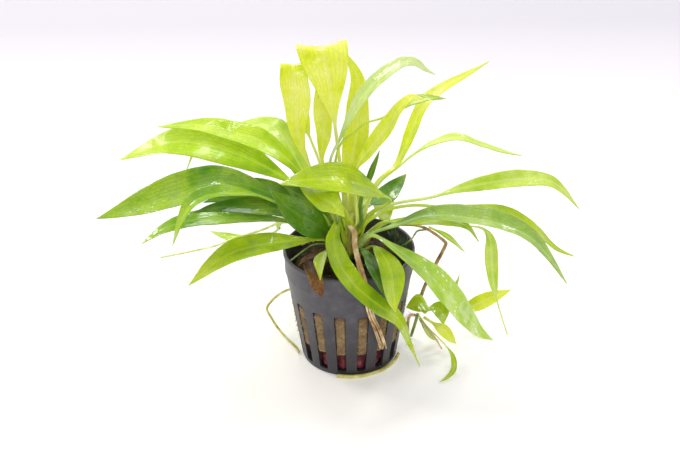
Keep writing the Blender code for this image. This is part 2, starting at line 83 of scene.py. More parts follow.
# name, place in mm, side length in mm, watts, colour
SOFT_LIGHTS = [("back_left_softbox", (-900, 560, 820), 380, 6.5, "#fffaf2"),
               ("back_softbox", (-150, 1100, 700), 500, 2.0, "#ffffff"),
               ("overhead_softbox", (-120, 480, 1260), 300, 3.8, "#ffffff"),
               ("back_right_softbox", (600, 860, 900), 330, 4.0, "#ffffff"),
               ("front_fill", (200, -1300, 900), 700, 5.5, "#ffffff")]


def hex_colour(code):
    """A colour written as #rrggbb in sRGB, as the linear RGBA that shaders take."""
    shares = [int(code[i:i + 2], 16) / 255 for i in (1, 3, 5)]
    linear = [s / 12.92 if s <= 0.04045 else ((s + 0.055) / 1.055) ** 2.4 for s in shares]
    return (*linear, 1.0)


class NodeTree:
    """A tree of nodes. An input of a node is a plain value or the output of another node."""

    def fill(self, node, inputs):
        for socket, value in inputs.items():
            if isinstance(value, bpy.types.NodeSocket):
                self.tree.links.new(value, node.inputs[socket])
            else:
                node.inputs[socket].default_value = value

    def add(self, kind, inputs=None, **settings):
        node = self.tree.nodes.new(kind)
        for name, value in settings.items():
            setattr(node, name, value)
        self.fill(node, inputs or {})
        return node

    def calc(self, operation, *values):
        """The result of one operation of the Math node."""
        return self.add("ShaderNodeMath", dict(enumerate(values)), operation=operation).outputs[0]


class Surface(NodeTree):
    """A material with a Principled shader. Its patterns follow the object or a named attribute."""

    def __init__(self, name, attribute=None):
        self.material = bpy.data.materials.new(name)
        self.material.use_nodes = True
        self.tree = self.material.node_tree
        if attribute:
            self.place = self.attribute(attribute, "Vector")
        else:
            self.place = self.add("ShaderNodeTexCoord").outputs["Object"]

    def attribute(self, name, output):
        return self.add("ShaderNodeAttribute", attribute_name=name).outputs[output]

    def parts(self, vector):
        """The X, Y and Z outputs of a vector."""
        return self.add("ShaderNodeSeparateXYZ", {"Vector": vector}).outputs

    def stretched(self, *scale):
        return self.add("ShaderNodeMapping", {"Vector": self.place, "Scale": scale}).outputs["Vector"]

    def noise(self, scale, detail, vector=None, **inputs):
        vector = vector or self.place
        return self.add("ShaderNodeTexNoise", {"Vector": vector, "Scale": scale, "Detail": detail,
                                               **inputs}).outputs["Fac"]

    def remap(self, value, low, high, first=0.0, last=1.0):
        """Turns low to high into first to last, and stops at both."""
        return self.add("ShaderNodeMapRange", {"Value": value, "From Min": low, "From Max": high,
                                               "To Min": first, "To Max": last}).outputs["Result"]

    def ramp(self, share, stops):
        """A colour for a share, from a list of (share, colour)."""
        node = self.add("ShaderNodeValToRGB", {"Fac": share})
        elements = node.color_ramp.elements
        while len(elements) < len(stops):
            elements.new(0.5)
        for element, (place, colour) in zip(elements, stops):
            element.position = place
            element.color = hex_colour(colour)
        return node.outputs["Color"]

    def blend(self, share, under, over):
        """Lays the colour over on the colour under."""
        return self.add("ShaderNodeMix", {0: share, 6: under, 7: hex_colour(over)},
                        data_type="RGBA").outputs[2]

    def relief(self, height, strength, depth, **settings):
        """A bumped normal, with the depth in mm."""
        return self.add("ShaderNodeBump", {"Height": height, "Strength": strength,
                                           "Distance": depth * MM}, **settings).outputs["Normal"]

    def finish(self, inputs):
        """Sets the shader's inputs and gives back the material."""
        self.fill(self.tree.nodes["Principled BSDF"], inputs)
        return self.material


def new_mesh(name, vertices, faces, edges=()):
    mesh = bpy.data.meshes.new(name)
    mesh.from_pydata(vertices, edges, faces)
    mesh.update()
    return mesh


table_mesh = new_mesh("table_top", [(x * TABLE_SIZE * MM, y * TABLE_SIZE * MM, 0)
                                    for x, y in ((-0.5, -0.5), (0.5, -0.5), (0.5, 0.5), (-0.5, 0.5))],
                      [(0, 1, 2, 3)])
table = put_in_scene("table_top", table_mesh)
paper = Surface("white_background_paper")
paper_tint = paper.ramp(paper.noise(4.0, 3.0), [(0.35, "#f3f0f1"), (0.65, "#f7f4f2")])
# The paper darkens to a slightly lilac grey towards the far edge, a painted shade where less light
# reaches it, and it glows a little so that the shadows stay light.
paper_painted_shade = paper.remap(paper.parts(paper.place)["Y"], 0.0, PAPER_SHADE_DEPTH * MM)
paper_colour = paper.blend(paper_painted_shade, paper_tint, "#bfbcc2")
table_mesh.materials.append(paper.finish({
    "Base Color": paper_colour, "Emission Color": paper_colour, "Emission Strength": PAPER_GLOW,
    "Roughness": 0.6, "Specular IOR Level": 0.2}))

world = bpy.data.worlds.new("studio")
world.use_nodes = True
world.node_tree.nodes["Background"].inputs["Color"].default_value = hex_colour("#fdfbff")
world.node_tree.nodes["Background"].inputs["Strength"].default_value = WORLD_STRENGTH
bpy.context.scene.world = world
bpy.context.scene.view_settings.view_transform = "Standard"

for name, place, size, power, colour in SOFT_LIGHTS:
    lamp_data = bpy.data.lights.new(name, "AREA")
    lamp_data.size = size * MM
    lamp_data.energy = power
    lamp_data.color = hex_colour(colour)[:3]
    lamp = put_in_scene(name, lamp_data)
    lamp.location = Vector(place) * MM
    aim = Vector((0, 0, LAMP_AIM_HEIGHT * MM))
    lamp.rotation_euler = (lamp.location - aim).to_track_quat("Z", "Y").to_euler()


# The net pot is one moulding of black polypropylene: a tapered cup with a plain band round the top
# and tall slots below it that let the roots out. The mould left it half matt, with a finer rim.
POT_HEIGHT = 48.8
POT_RIM_RADIUS = 26.0
POT_TOP_RADIUS = 25.5
POT_BAND_HEIGHT = 39.5
POT_BAND_STEP = 0.3
POT_FOOT_RADIUS = 19.5
POT_WALL = 1.1
POT_FLOOR = 1.2
POT_INNER_CORNER = 0.8       # the rounding inside, between wall and floor
POT_SIDES = 168
SLOT_COUNT = 16
SLOT_PHASE = math.radians(-77.2)     # the direction of one slot near the front
SLOT_FOOT_WIDTH = 3.6
SLOT_HEAD_WIDTH = 4.5
SLOT_CORNER = 0.6
SLOT_BOTTOM = 2.4
SLOT_TOP = 30.5
FLOOR_SLOT_START = 9.0
FLOOR_SLOT_END = 15.0
FLOOR_SLOT_WIDTH = 2.6
POT_SHADE_FULL_BELOW = 8.0         # the heights below which the painted shade is full, and above which there is none
POT_SHADE_NONE_ABOVE = 33.0
CORNER_STEPS = 4
CUTTER_INSIDE = 3.5          # how far the cutter reaches past the wall, inside and outside
CUTTER_OUTSIDE = 4.0


def finish_mesh(name, mesh, material, crease=40):
    """Smooth-shades a mesh in metres, gives it one material and puts it in the scene."""
    mesh.shade_smooth()
    mesh.set_sharp_from_angle(angle=math.radians(crease))
    mesh.materials.clear()
    mesh.materials.append(material)
    return put_in_scene(name, mesh)


def show(name, mesh, material, slot, *nodes, crease=40):
    """Finishes a piece, hangs it on the root body and hides the solids it stands for. slot, the name of
    its finish, is not used.
    """
    piece = finish_mesh(name, mesh, material, crease)
    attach(piece, "root")
    if nodes:
        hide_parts(*nodes)
    return piece


def ring_faces(rings, size):
    """Quads between rings of equal size that are numbered one after the other."""
    faces = []
    for ring in range(rings - 1):
        for side in range(size):
            after = (side + 1) % size
            faces.append((ring * size + side, ring * size + after,
                          (ring + 1) * size + after, (ring + 1) * size + side))
    return faces


def turned_mesh(name, profile, sides, reach=None):
    """A closed turned mesh from (radius, height) pairs in mm, the first and last on the axis.

    reach, if given, turns a radius, an angle and a height into the radius that is used.
    """
    vertices = []
    for radius, height in profile[1:-1]:
        for side in range(sides):
            turn = 2 * math.pi * side / sides
            out = reach(radius, turn, height) if reach else radius
            vertices.append((out * math.cos(turn) * MM, out * math.sin(turn) * MM, height * MM))
    rings = len(profile) - 2
    faces = ring_faces(rings, sides)
    low = len(vertices)
    vertices += [(0, 0, profile[0][1] * MM), (0, 0, profile[-1][1] * MM)]
    for side in range(sides):
        after = (side + 1) % sides
        faces.append((after, side, low))
        faces.append(((rings - 1) * sides + side, (rings - 1) * sides + after, low + 1))
    return new_mesh(name, vertices, faces)


def face_outward(mesh):
    """Turns all faces of a closed mesh outward."""
    builder = bmesh.new()
    builder.from_mesh(mesh)
    bmesh.ops.recalc_face_normals(builder, faces=builder.faces)
    builder.to_mesh(mesh)
    builder.free()


class GeometryTree(NodeTree):
    """A Geometry Nodes tree with one geometry in, one out and the named inputs after it."""

    def __init__(self, name, inputs):
        self.tree = bpy.data.node_groups.new(name, "GeometryNodeTree")
        add_socket = self.tree.interface.new_socket
        add_socket("Geometry", in_out="INPUT", socket_type="NodeSocketGeometry")
        for socket_name, kind in inputs.items():
            add_socket(socket_name, in_out="INPUT", socket_type="NodeSocket" + kind)
        add_socket("Geometry", in_out="OUTPUT", socket_type="NodeSocketGeometry")
        self.given = self.tree.nodes.new("NodeGroupInput").outputs
        self.result = self.tree.nodes.new("NodeGroupOutput").inputs["Geometry"]

    def point(self, **parts):
        return self.add("ShaderNodeCombineXYZ", parts).outputs["Vector"]

    def copies(self, **inputs):
        """Real copies of an instance on points."""
        spread = self.add("GeometryNodeInstanceOnPoints", inputs).outputs["Instances"]
        return self.add("GeometryNodeRealizeInstances", {"Geometry": spread}).outputs["Geometry"]

    def hand_out(self, geometry):
        """Gives the geometry its material and hands it out of the tree."""
        dressed = self.add("GeometryNodeSetMaterial", {"Geometry": geometry,
                                                       "Material": self.given["Material"]})
        self.tree.links.new(dressed.outputs["Geometry"], self.result)

    def grow(self, name, source, values, material, slot, *nodes, crease=40):
        """Runs the tree over a source object and shows the result as a plain mesh."""
        modifier = source.modifiers.new(name, "NODES")
        modifier.node_group = self.tree
        values = {**values, "Material": material}
        for item in self.tree.interface.items_tree:
            if item.in_out == "INPUT" and item.name in values:
                modifier[item.identifier] = values[item.name]
        bpy.context.view_layer.update()
        grown = source.evaluated_get(bpy.context.evaluated_depsgraph_get())
        mesh = bpy.data.meshes.new_from_object(grown)
        bpy.data.objects.remove(source, do_unlink=True)
        return show(name, mesh, material, slot, *nodes, crease=crease)


plastic = Surface("moulded_black_polypropylene")
# Dust and dried water leave greyer clouds, a few millimetres wide, on the black plastic.
clouds = plastic.noise(180.0, 6.0, Roughness=0.65)
plastic_tint = plastic.ramp(clouds, [(0.3, "#3a383f"), (0.55, "#4a484f"), (0.75, "#605e65")])
# Below the band the plastic is darker towards the bottom: painted shade.
painted_low_shade = plastic.remap(plastic.parts(plastic.place)["Z"], POT_SHADE_FULL_BELOW * MM,
                         POT_SHADE_NONE_ABOVE * MM, 0.65, 0.0)
# The spark-eroded mould leaves a texture of about half a millimetre.
grain = plastic.noise(1900.0, 2.0)
pot_plastic = plastic.finish({"Base Color": plastic.blend(painted_low_shade, plastic_tint, "#1d1a1c"),
                              "Roughness": plastic.remap(clouds, 0.0, 1.0, 0.34, 0.52),
                              "Normal": plastic.relief(grain, 0.25, 0.06)})

band_radius = POT_TOP_RADIUS - POT_BAND_STEP
pot_inner_foot = POT_FOOT_RADIUS - POT_WALL
pot_lip = POT_HEIGHT - 2.0
pot_profile = [(0, 0), (POT_FOOT_RADIUS - 0.9, 0), (POT_FOOT_RADIUS - 0.35, 0.15),
               (POT_FOOT_RADIUS - 0.05, 0.5), (POT_FOOT_RADIUS + 0.05, 1.0),
               (band_radius - 0.05, POT_BAND_HEIGHT), (band_radius + 0.25, POT_BAND_HEIGHT + 0.35),
               (POT_TOP_RADIUS, pot_lip), (POT_RIM_RADIUS - 0.1, pot_lip + 0.25),
               (POT_RIM_RADIUS, pot_lip + 0.5), (POT_RIM_RADIUS, POT_HEIGHT - 0.5),
               (POT_RIM_RADIUS - 0.15, POT_HEIGHT - 0.15), (POT_RIM_RADIUS - 0.45, POT_HEIGHT),
               (POT_RIM_RADIUS - 0.8, POT_HEIGHT), (POT_RIM_RADIUS - 1.05, POT_HEIGHT - 0.2),
               (POT_RIM_RADIUS - POT_WALL, POT_HEIGHT - 0.6),
               (pot_inner_foot, POT_FLOOR + POT_INNER_CORNER),
               (pot_inner_foot - POT_INNER_CORNER, POT_FLOOR), (0, POT_FLOOR)]
pot_source = finish_mesh("net_pot_blank", turned_mesh("net_pot_blank", pot_profile, POT_SIDES),
                         pot_plastic)


def slot_cutter_mesh():
    """A rounded plate that cuts one slot through the wall, and a block for the slot in the floor."""
    outline = []
    for corner_x, corner_z, first in ((1, 1, 0), (-1, 1, 90), (-1, -1, 180), (1, -1, 270)):
        width = SLOT_HEAD_WIDTH if corner_z > 0 else SLOT_FOOT_WIDTH
        middle_x = corner_x * (width / 2 - SLOT_CORNER)
        middle_z = (SLOT_TOP - SLOT_CORNER) if corner_z > 0 else (SLOT_BOTTOM + SLOT_CORNER)
        for step in range(CORNER_STEPS + 1):
            turn = math.radians(first + 90 * step / CORNER_STEPS)
            outline.append((middle_x + SLOT_CORNER * math.cos(turn),
                            middle_z + SLOT_CORNER * math.sin(turn)))
    near, far = POT_FOOT_RADIUS - CUTTER_INSIDE, POT_RIM_RADIUS + CUTTER_OUTSIDE
    count = len(outline)
    vertices = [(radius, across, height) for radius in (near, far) for across, height in outline]
    faces = [tuple(range(count)), tuple(range(2 * count - 1, count - 1, -1))]
    faces += [(i, i + count, (i + 1) % count + count, (i + 1) % count) for i in range(count)]
    first = len(vertices)
    half = FLOOR_SLOT_WIDTH / 2
    above = POT_FLOOR + 1.0
    for radius in (FLOOR_SLOT_START, FLOOR_SLOT_END):
        for across, height in ((-half, -1), (half, -1), (half, above), (-half, above)):
            vertices.append((radius, across, height))
    faces += [tuple(first + i for i in face) for face in
              ((0, 1, 2, 3), (7, 6, 5, 4), (0, 4, 5, 1), (1, 5, 6, 2), (2, 6, 7, 3), (3, 7, 4, 0))]
    mesh = new_mesh("slot_cutter", [Vector(v) * MM for v in vertices], faces)
    face_outward(mesh)
    return mesh


slot_cutter = put_in_scene("slot_cutter", slot_cutter_mesh())
slots = GeometryTree("slots_round_the_pot", {
    "Cutter": "Object", "Slot Count": "Int", "First Slot": "Float", "Material": "Material"})
given = slots.given
spots = slots.add("GeometryNodePoints", {"Count": given["Slot Count"]})
number = slots.add("GeometryNodeInputIndex")
pitch = slots.calc("DIVIDE", 2 * math.pi, given["Slot Count"])
turn = slots.calc("MULTIPLY_ADD", number.outputs["Index"], pitch, given["First Slot"])
cutter = slots.add("GeometryNodeObjectInfo", {"Object": given["Cutter"]})
cutters = slots.copies(Points=spots.outputs[0], Instance=cutter.outputs["Geometry"],
                       Rotation=slots.point(Z=turn))
cut = slots.add("GeometryNodeMeshBoolean", {"Mesh 1": given["Geometry"], "Mesh 2": cutters,
                                            "Self Intersection": True},
                operation="DIFFERENCE", solver="EXACT")
slots.hand_out(cut.outputs["Mesh"])
slots.grow("net_pot_moulding", pot_source,
           {"Cutter": slot_cutter, "Slot Count": SLOT_COUNT, "First Slot": SLOT_PHASE},
           pot_plastic, "pot_plastic", "net_pot", crease=28)
bpy.data.objects.remove(slot_cutter, do_unlink=True)


# The plug is rock wool, a felt of brown mineral fibres that fills the pot and bulges into its
# slots. It sits loose in the pot, and its fibres stand out wherever the wall leaves them free.
WOOL_TOP = 44.0
WOOL_BOTTOM = 9.6
WOOL_TOP_RADIUS = 21.5
WOOL_DOME = 1.5
WOOL_BULGE = 1.9             # how far it swells into a slot, nearly flush with the bars
WOOL_LUMPS = ((0.35, 2.1), (0.2, 0.8))     # height and width of the large and the small lumps
WOOL_SLOT_INSET = 0.25       # how far its sides stand back where it meets the slots, and elsewhere
WOOL_INSET = 0.3
WOOL_SHOULDER = 34.0         # it narrows above this height
WOOL_NARROWING = 2.0
WOOL_SOAKED = (36.0, 44.0)   # it turns dark between these heights
WALL_CLEARANCE = 0.45
WOOL_SIDES = 320
WOOL_STEPS = 42
SLOT_FELT_BOTTOM = 12.0      # fibres hang in the slots from here up


def pot_inside(height):
    """The radius of the inside of the pot's wall."""
    low = POT_FLOOR + POT_INNER_CORNER
    return pot_inner_foot + (POT_RIM_RADIUS - POT_FOOT_RADIUS) * (height - low) / (POT_HEIGHT - low)


def slot_nearness(turn, radius, height):
    """1 in the middle of a slot, 0 at its edges and behind the bars."""
    pitch = 2 * math.pi / SLOT_COUNT
    off = (turn - SLOT_PHASE + pitch / 2) % pitch - pitch / 2
    rise = (height - SLOT_BOTTOM) / (SLOT_TOP - SLOT_BOTTOM)
    width = SLOT_FOOT_WIDTH + (SLOT_HEAD_WIDTH - SLOT_FOOT_WIDTH) * rise
    share = abs(off) * radius / (width / 2)
    return max(0.0, 1 - share ** 8)


def wool_reach(radius, turn, height):
    spot = Vector((radius * math.cos(turn), radius * math.sin(turn), height))
    lumps = sum(rise * noise.noise(spot / width) for rise, width in WOOL_LUMPS)
    if WOOL_BOTTOM + 1 < height < SLOT_TOP - 1 and radius > pot_inner_foot - 1:
        bulge = WOOL_BULGE * slot_nearness(turn, radius, height)
        return radius - WOOL_SLOT_INSET + lumps * 0.6 + bulge
    return radius - WOOL_INSET + lumps * min(1.0, radius / 3)


wool = Surface("brown_rock_wool_felt")
# Wet and dry patches are about 5 mm wide, and the felt's strands about 0.7 mm apart.
patches = wool.noise(190.0, 4.0)
strands = wool.noise(1500.0, 3.0, Distortion=1.5)
felt_mix = wool.add("ShaderNodeMix", {"Factor": 0.55, "A": patches, "B": strands}).outputs[0]
felt_tint = wool.ramp(felt_mix, [(0.3, "#5c482e"), (0.48, "#846b4a"), (0.62, "#a38a62"),
                                 (0.8, "#bfa87e")])
# The top has soaked up water and rotted leaf, so it is a dark brown.
dry_below, soaked_above = WOOL_SOAKED
soaked = wool.remap(wool.parts(wool.place)["Z"], dry_below * MM, soaked_above * MM, 0.0, 0.8)
wool_felt = wool.finish({"Base Color": wool.blend(soaked, felt_tint, "#33261a"),
                         "Roughness": 0.9, "Normal": wool.relief(strands, 0.9, 0.35)})

wool_low, wool_high = WOOL_BOTTOM + 1.5, WOOL_TOP - 3.0
wool_profile = [(0, WOOL_BOTTOM)]
wool_profile += [(share * (pot_inside(wool_low) - WALL_CLEARANCE - 0.8), WOOL_BOTTOM)
                 for share in (0.3, 0.6, 0.85, 1.0)]
for step in range(WOOL_STEPS + 1):
    height = wool_low + (wool_high - wool_low) * step / WOOL_STEPS
    narrowing = max(0.0, (height - WOOL_SHOULDER) / (wool_high - WOOL_SHOULDER))
    narrowing = WOOL_NARROWING * narrowing ** 2
    wool_profile.append((pot_inside(height) - WALL_CLEARANCE - narrowing, height))
for share in (0.95, 0.88, 0.8, 0.7, 0.6, 0.5, 0.4, 0.3, 0.2, 0.1):
    wool_profile.append((share * WOOL_TOP_RADIUS, WOOL_TOP + WOOL_DOME * (1 - share) - 0.4 * share ** 8))
wool_profile.append((0, WOOL_TOP + WOOL_DOME))
wool_mesh = turned_mesh("rock_wool_plug", wool_profile, WOOL_SIDES, wool_reach)
rock_wool = show("rock_wool_plug", wool_mesh, wool_felt, "rock_wool", "rock_wool", crease=180)

# Loose fibres of the plug are short bent hairs, half sunk in the felt. They are drawn 0.12 and
# 0.14 mm thick so that they still show at the size of the picture.
fibres = GeometryTree("loose_fibres", {
    "Fibres Per Area": "Float", "Length": "Float", "Thickness": "Float", "Lift": "Float",
    "Seed": "Int", "Material": "Material"})
given = fibres.given
spots = fibres.add("GeometryNodeDistributePointsOnFaces", {
    "Mesh": given["Geometry"], "Density": given["Fibres Per Area"], "Seed": given["Seed"]})
half_length = fibres.calc("MULTIPLY", given["Length"], 0.5)
less_half = fibres.calc("MULTIPLY", half_length, -1.0)
bend = fibres.calc("MULTIPLY", given["Length"], 0.3)
hair = fibres.add("GeometryNodeCurveQuadraticBezier", {
    "Resolution": 4, "Start": fibres.point(X=less_half), "End": fibres.point(X=half_length),
    "Middle": fibres.point(Y=bend, Z=given["Lift"])})
thin = fibres.add("GeometryNodeCurvePrimitiveCircle", {"Resolution": 3,
                                                       "Radius": given["Thickness"]})
strand = fibres.add("GeometryNodeCurveToMesh", {
    "Curve": hair.outputs["Curve"], "Profile Curve": thin.outputs["Curve"], "Fill Caps": True})
spin = fibres.add("FunctionNodeRandomValue", {
    "Min": (-0.5, -0.5, 0.0), "Max": (0.5, 0.5, 2 * math.pi), "Seed": given["Seed"]},
    data_type="FLOAT_VECTOR")
lay = fibres.add("FunctionNodeRotateRotation", {
    "Rotation": spots.outputs["Rotation"], "Rotate By": spin.outputs["Value"]},
    rotation_space="LOCAL")
size = fibres.add("FunctionNodeRandomValue", {2: 0.6, 3: 1.3, "Seed": given["Seed"]},
                  data_type="FLOAT")
fibres.hand_out(fibres.copies(
    Points=spots.outputs["Points"], Instance=strand.outputs["Mesh"],
    Rotation=lay.outputs["Rotation"], Scale=size.outputs[1]))


def grained(name, scale, detail, stops, roughness, depth=0.0):
    """A material in cloudy shades, with a relief of the same clouds where a depth in mm is given."""
    skin = Surface(name)
    clouds = skin.noise(scale, detail)
    inputs = {"Base Color": skin.ramp(clouds, stops), "Roughness": roughness}
    if depth:
        inputs["Normal"] = skin.relief(clouds, 0.8, depth)
    return skin.finish(inputs)


fibre_material = grained("single_rock_wool_fibre", 900.0, 2.0,
                         [(0.3, "#5c4a2f"), (0.5, "#8f7850"), (0.7, "#b8a277")], 0.55)
soaked_fibre = grained("soaked_plant_fibre", 500.0, 2.0,
                       [(0.35, "#1c140c"), (0.55, "#4a3822"), (0.75, "#8d744c")], 0.35)


def felt_patch(name, keep):
    """A copy of the plug's surface that keeps only the faces whose centre passes the test."""
    mesh = rock_wool.data.copy()
    builder = bmesh.new()
    builder.from_mesh(mesh)
    unwanted = [face for face in builder.faces if not keep(face.calc_center_median() / MM)]
    bmesh.ops.delete(builder, geom=unwanted, context="FACES")
    builder.to_mesh(mesh)
    builder.free()
    return put_in_scene(name, mesh)


def in_slot(centre):
    turn = math.atan2(centre.y, centre.x)
    reach = math.hypot(centre.x, centre.y)
    return (SLOT_FELT_BOTTOM < centre.z < SLOT_TOP - 1.5
            and slot_nearness(turn, reach, centre.z) > 0.5)


fibres.grow("rock_wool_fibres_in_slots", felt_patch("slot_felt", in_slot),
            {"Fibres Per Area": 1.2e6, "Length": 2.4 * MM, "Thickness": 0.06 * MM,
             "Lift": 0.15 * MM, "Seed": 3}, fibre_material, "rock_wool")
top_felt = felt_patch("top_felt", lambda centre: centre.z > WOOL_TOP - 1.0)
fibres.grow("rock_wool_fibres_on_top", top_felt,
            {"Fibres Per Area": 1.3e6, "Length": 4.0 * MM, "Thickness": 0.07 * MM,
             "Lift": 0.8 * MM, "Seed": 5}, soaked_fibre, "rock_wool")


# Under the plug lies a dull dark red layer that shows as one lump in each slot. What it is can't be
# told, so it is shaped as a ring of lumps with the look of porous clay.
RED_RADIUS = 16.2
RED_LUMP = 2.1               # how far a lump stands out
RED_BOTTOM = POT_FLOOR + 0.35
RED_TOP = 8.7
RED_SQUARENESS = 0.6         # of its section: 1 is round, and less is squarer
RED_CORE = 10.0              # the lumps start to rise at this radius
RED_STEPS = 16
RED_SIDES = 224


def red_reach(radius, turn, height):
    spot = Vector((radius * math.cos(turn), radius * math.sin(turn), height))
    outer = min(1.0, max(0.0, radius - RED_CORE) / 5)
    lump = math.cos(SLOT_COUNT * (turn - SLOT_PHASE) / 2) ** 2
    return radius + outer * (RED_LUMP * lump ** 0.7 + 0.4 * noise.noise(spot / 1.3))


red_clay = grained("dark_red_porous_clay", 420.0, 5.0,
                   [(0.3, "#3a1014"), (0.5, "#7a2c34"), (0.72, "#a4585c")], 0.6, 0.3)
red_middle = (RED_BOTTOM + RED_TOP) / 2
red_half = (RED_TOP - RED_BOTTOM) / 2
red_profile = [(0, RED_BOTTOM), (RED_RADIUS * 0.5, RED_BOTTOM)]
for step in range(1, RED_STEPS):
    turn = math.pi * (step / RED_STEPS - 0.5)
    outward = math.cos(turn) ** RED_SQUARENESS
    upward = math.copysign(abs(math.sin(turn)) ** RED_SQUARENESS, math.sin(turn))
    red_profile.append((RED_RADIUS - red_half + red_half * outward, red_middle + red_half * upward))
red_profile += [(RED_RADIUS * 0.5, RED_TOP), (0, RED_TOP)]
red_mesh = turned_mesh("red_layer", red_profile, RED_SIDES, red_reach)
show("red_layer", red_mesh, red_clay, "red_disc", "red_disc", crease=180)


# The crown is the short rootstock in the middle of the plug. The flattened feet of the stalks wrap
# round it as pale sheaths, so it shows as a bundle of ridges that closes at the top.
CROWN_BOTTOM = WOOL_TOP + WOOL_DOME + 0.4
CROWN_TOP = 63.5
CROWN_RADIUS = 4.6
CROWN_TOP_RADIUS = 2.8
SHEATH_COUNT = 9
CROWN_STEPS = 14
CROWN_SIDES = 90
SHEATH_INSET = 0.93          # share of the crown's radius between two ridges
SHEATH_RIDGE = 0.14          # and how much more of it on a ridge
SHEATH_TWIST = 0.05


def sheath_reach(radius, turn, height):
    spot = Vector((radius * math.cos(turn), radius * math.sin(turn), height * 0.4))
    ridge = abs(math.cos(SHEATH_COUNT / 2 * turn + height * SHEATH_TWIST))
    lumps = 0.25 * noise.noise(spot / 1.5) * min(1.0, radius)
    return radius * (SHEATH_INSET + SHEATH_RIDGE * ridge) + lumps


sheath = Surface("pale_leaf_sheath_skin")
# Strips about 0.7 mm wide run up the sheaths, brown where they have died off.
strips = sheath.noise(900.0, 3.0, sheath.stretched(1.0, 1.0, 0.12))
sheath_skin = sheath.finish({
    "Base Color": sheath.ramp(strips, [(0.32, "#7a6a2a"), (0.46, "#a9a044"), (0.6, "#c6c85c"),
                                       (0.78, "#e8e2a4")]),
    "Roughness": 0.38, "Subsurface Weight": 0.2,
    "Subsurface Radius": (0.8 * MM, 0.7 * MM, 0.2 * MM),
    "Normal": sheath.relief(strips, 0.7, 0.3)})

crown_profile = [(0, CROWN_BOTTOM), (CROWN_RADIUS * 0.8, CROWN_BOTTOM + 0.2)]
for step in range(CROWN_STEPS + 1):
    share = step / CROWN_STEPS
    crown_profile.append((CROWN_RADIUS + (CROWN_TOP_RADIUS - CROWN_RADIUS) * share ** 1.5,
                          CROWN_BOTTOM + 1.5 + (CROWN_TOP - CROWN_BOTTOM - 3.5) * share))
crown_profile += [(CROWN_TOP_RADIUS * 0.85, CROWN_TOP - 1), (CROWN_TOP_RADIUS * 0.5, CROWN_TOP - 0.3),
                  (0, CROWN_TOP)]
crown_mesh = turned_mesh("crown_with_sheaths", crown_profile, CROWN_SIDES, sheath_reach)
show("crown_with_sheaths", crown_mesh, sheath_skin, "crown", "crown", crease=180)


# Each leaf is one piece with its stalk: a thin wet blade with a paler midrib, a few veins along it
# and a net of cross veins. The stalks grow from the crown, and light comes through the blades.
Leaf = namedtuple("Leaf", "name seat width rolls points facing start belly end swell slim look cup wave",
                  defaults=(None, 0.22, 0.45, 1.0, 1.3, 1.0, "bright", 0.18, 0.12))
LEAF_STATIONS = 60
LEAF_CELLS = 14              # across the blade, on either face
LEAF_THICKNESS = 0.36
RIB_THICKNESS = 0.8
SEAT_CLEARANCE = 1.25
PETIOLE_WIDTH = 1.7
PETIOLE_SHARE = 0.26         # of the blade's width, for the small leaves
PETIOLE_ROUNDNESS = 0.76
SHEATH_WIDTH = 2.2           # how much wider a stalk is at its flattened foot
SHEATH_LENGTH = 24.0
RUFFLE_LENGTH = 17.0
SMALL_RUFFLES = 2.3          # small ripples for each large one
RUFFLE_SHIFTS = (0.23, 0.61)  # how far the ripples move on from one leaf to the next
MARGIN_SHIFT = 0.37          # and from the one margin to the other
STALK_TAPER = 0.6            # share of a stalk's thickness that is gone at the tip
STALK_START = (1.2, 4.0)     # how far out from the axis and below the seat a stalk starts
RIB_SPREAD = 0.7
RIB_ABOVE = 0.2              # how much of the midrib stands out on the upper face
CUP_CURVE = 1.3
BLADE_FLATTENING = 2.5       # how soon the round stalk turns into the flat blade
EDGE_FULLNESS = 3.0
PATTERN_STEP = 37.0          # from one leaf to the next, so that no two have the same spots
VEINS = 5                    # along either half of a blade
VEIN_SHARPNESS = 12.0

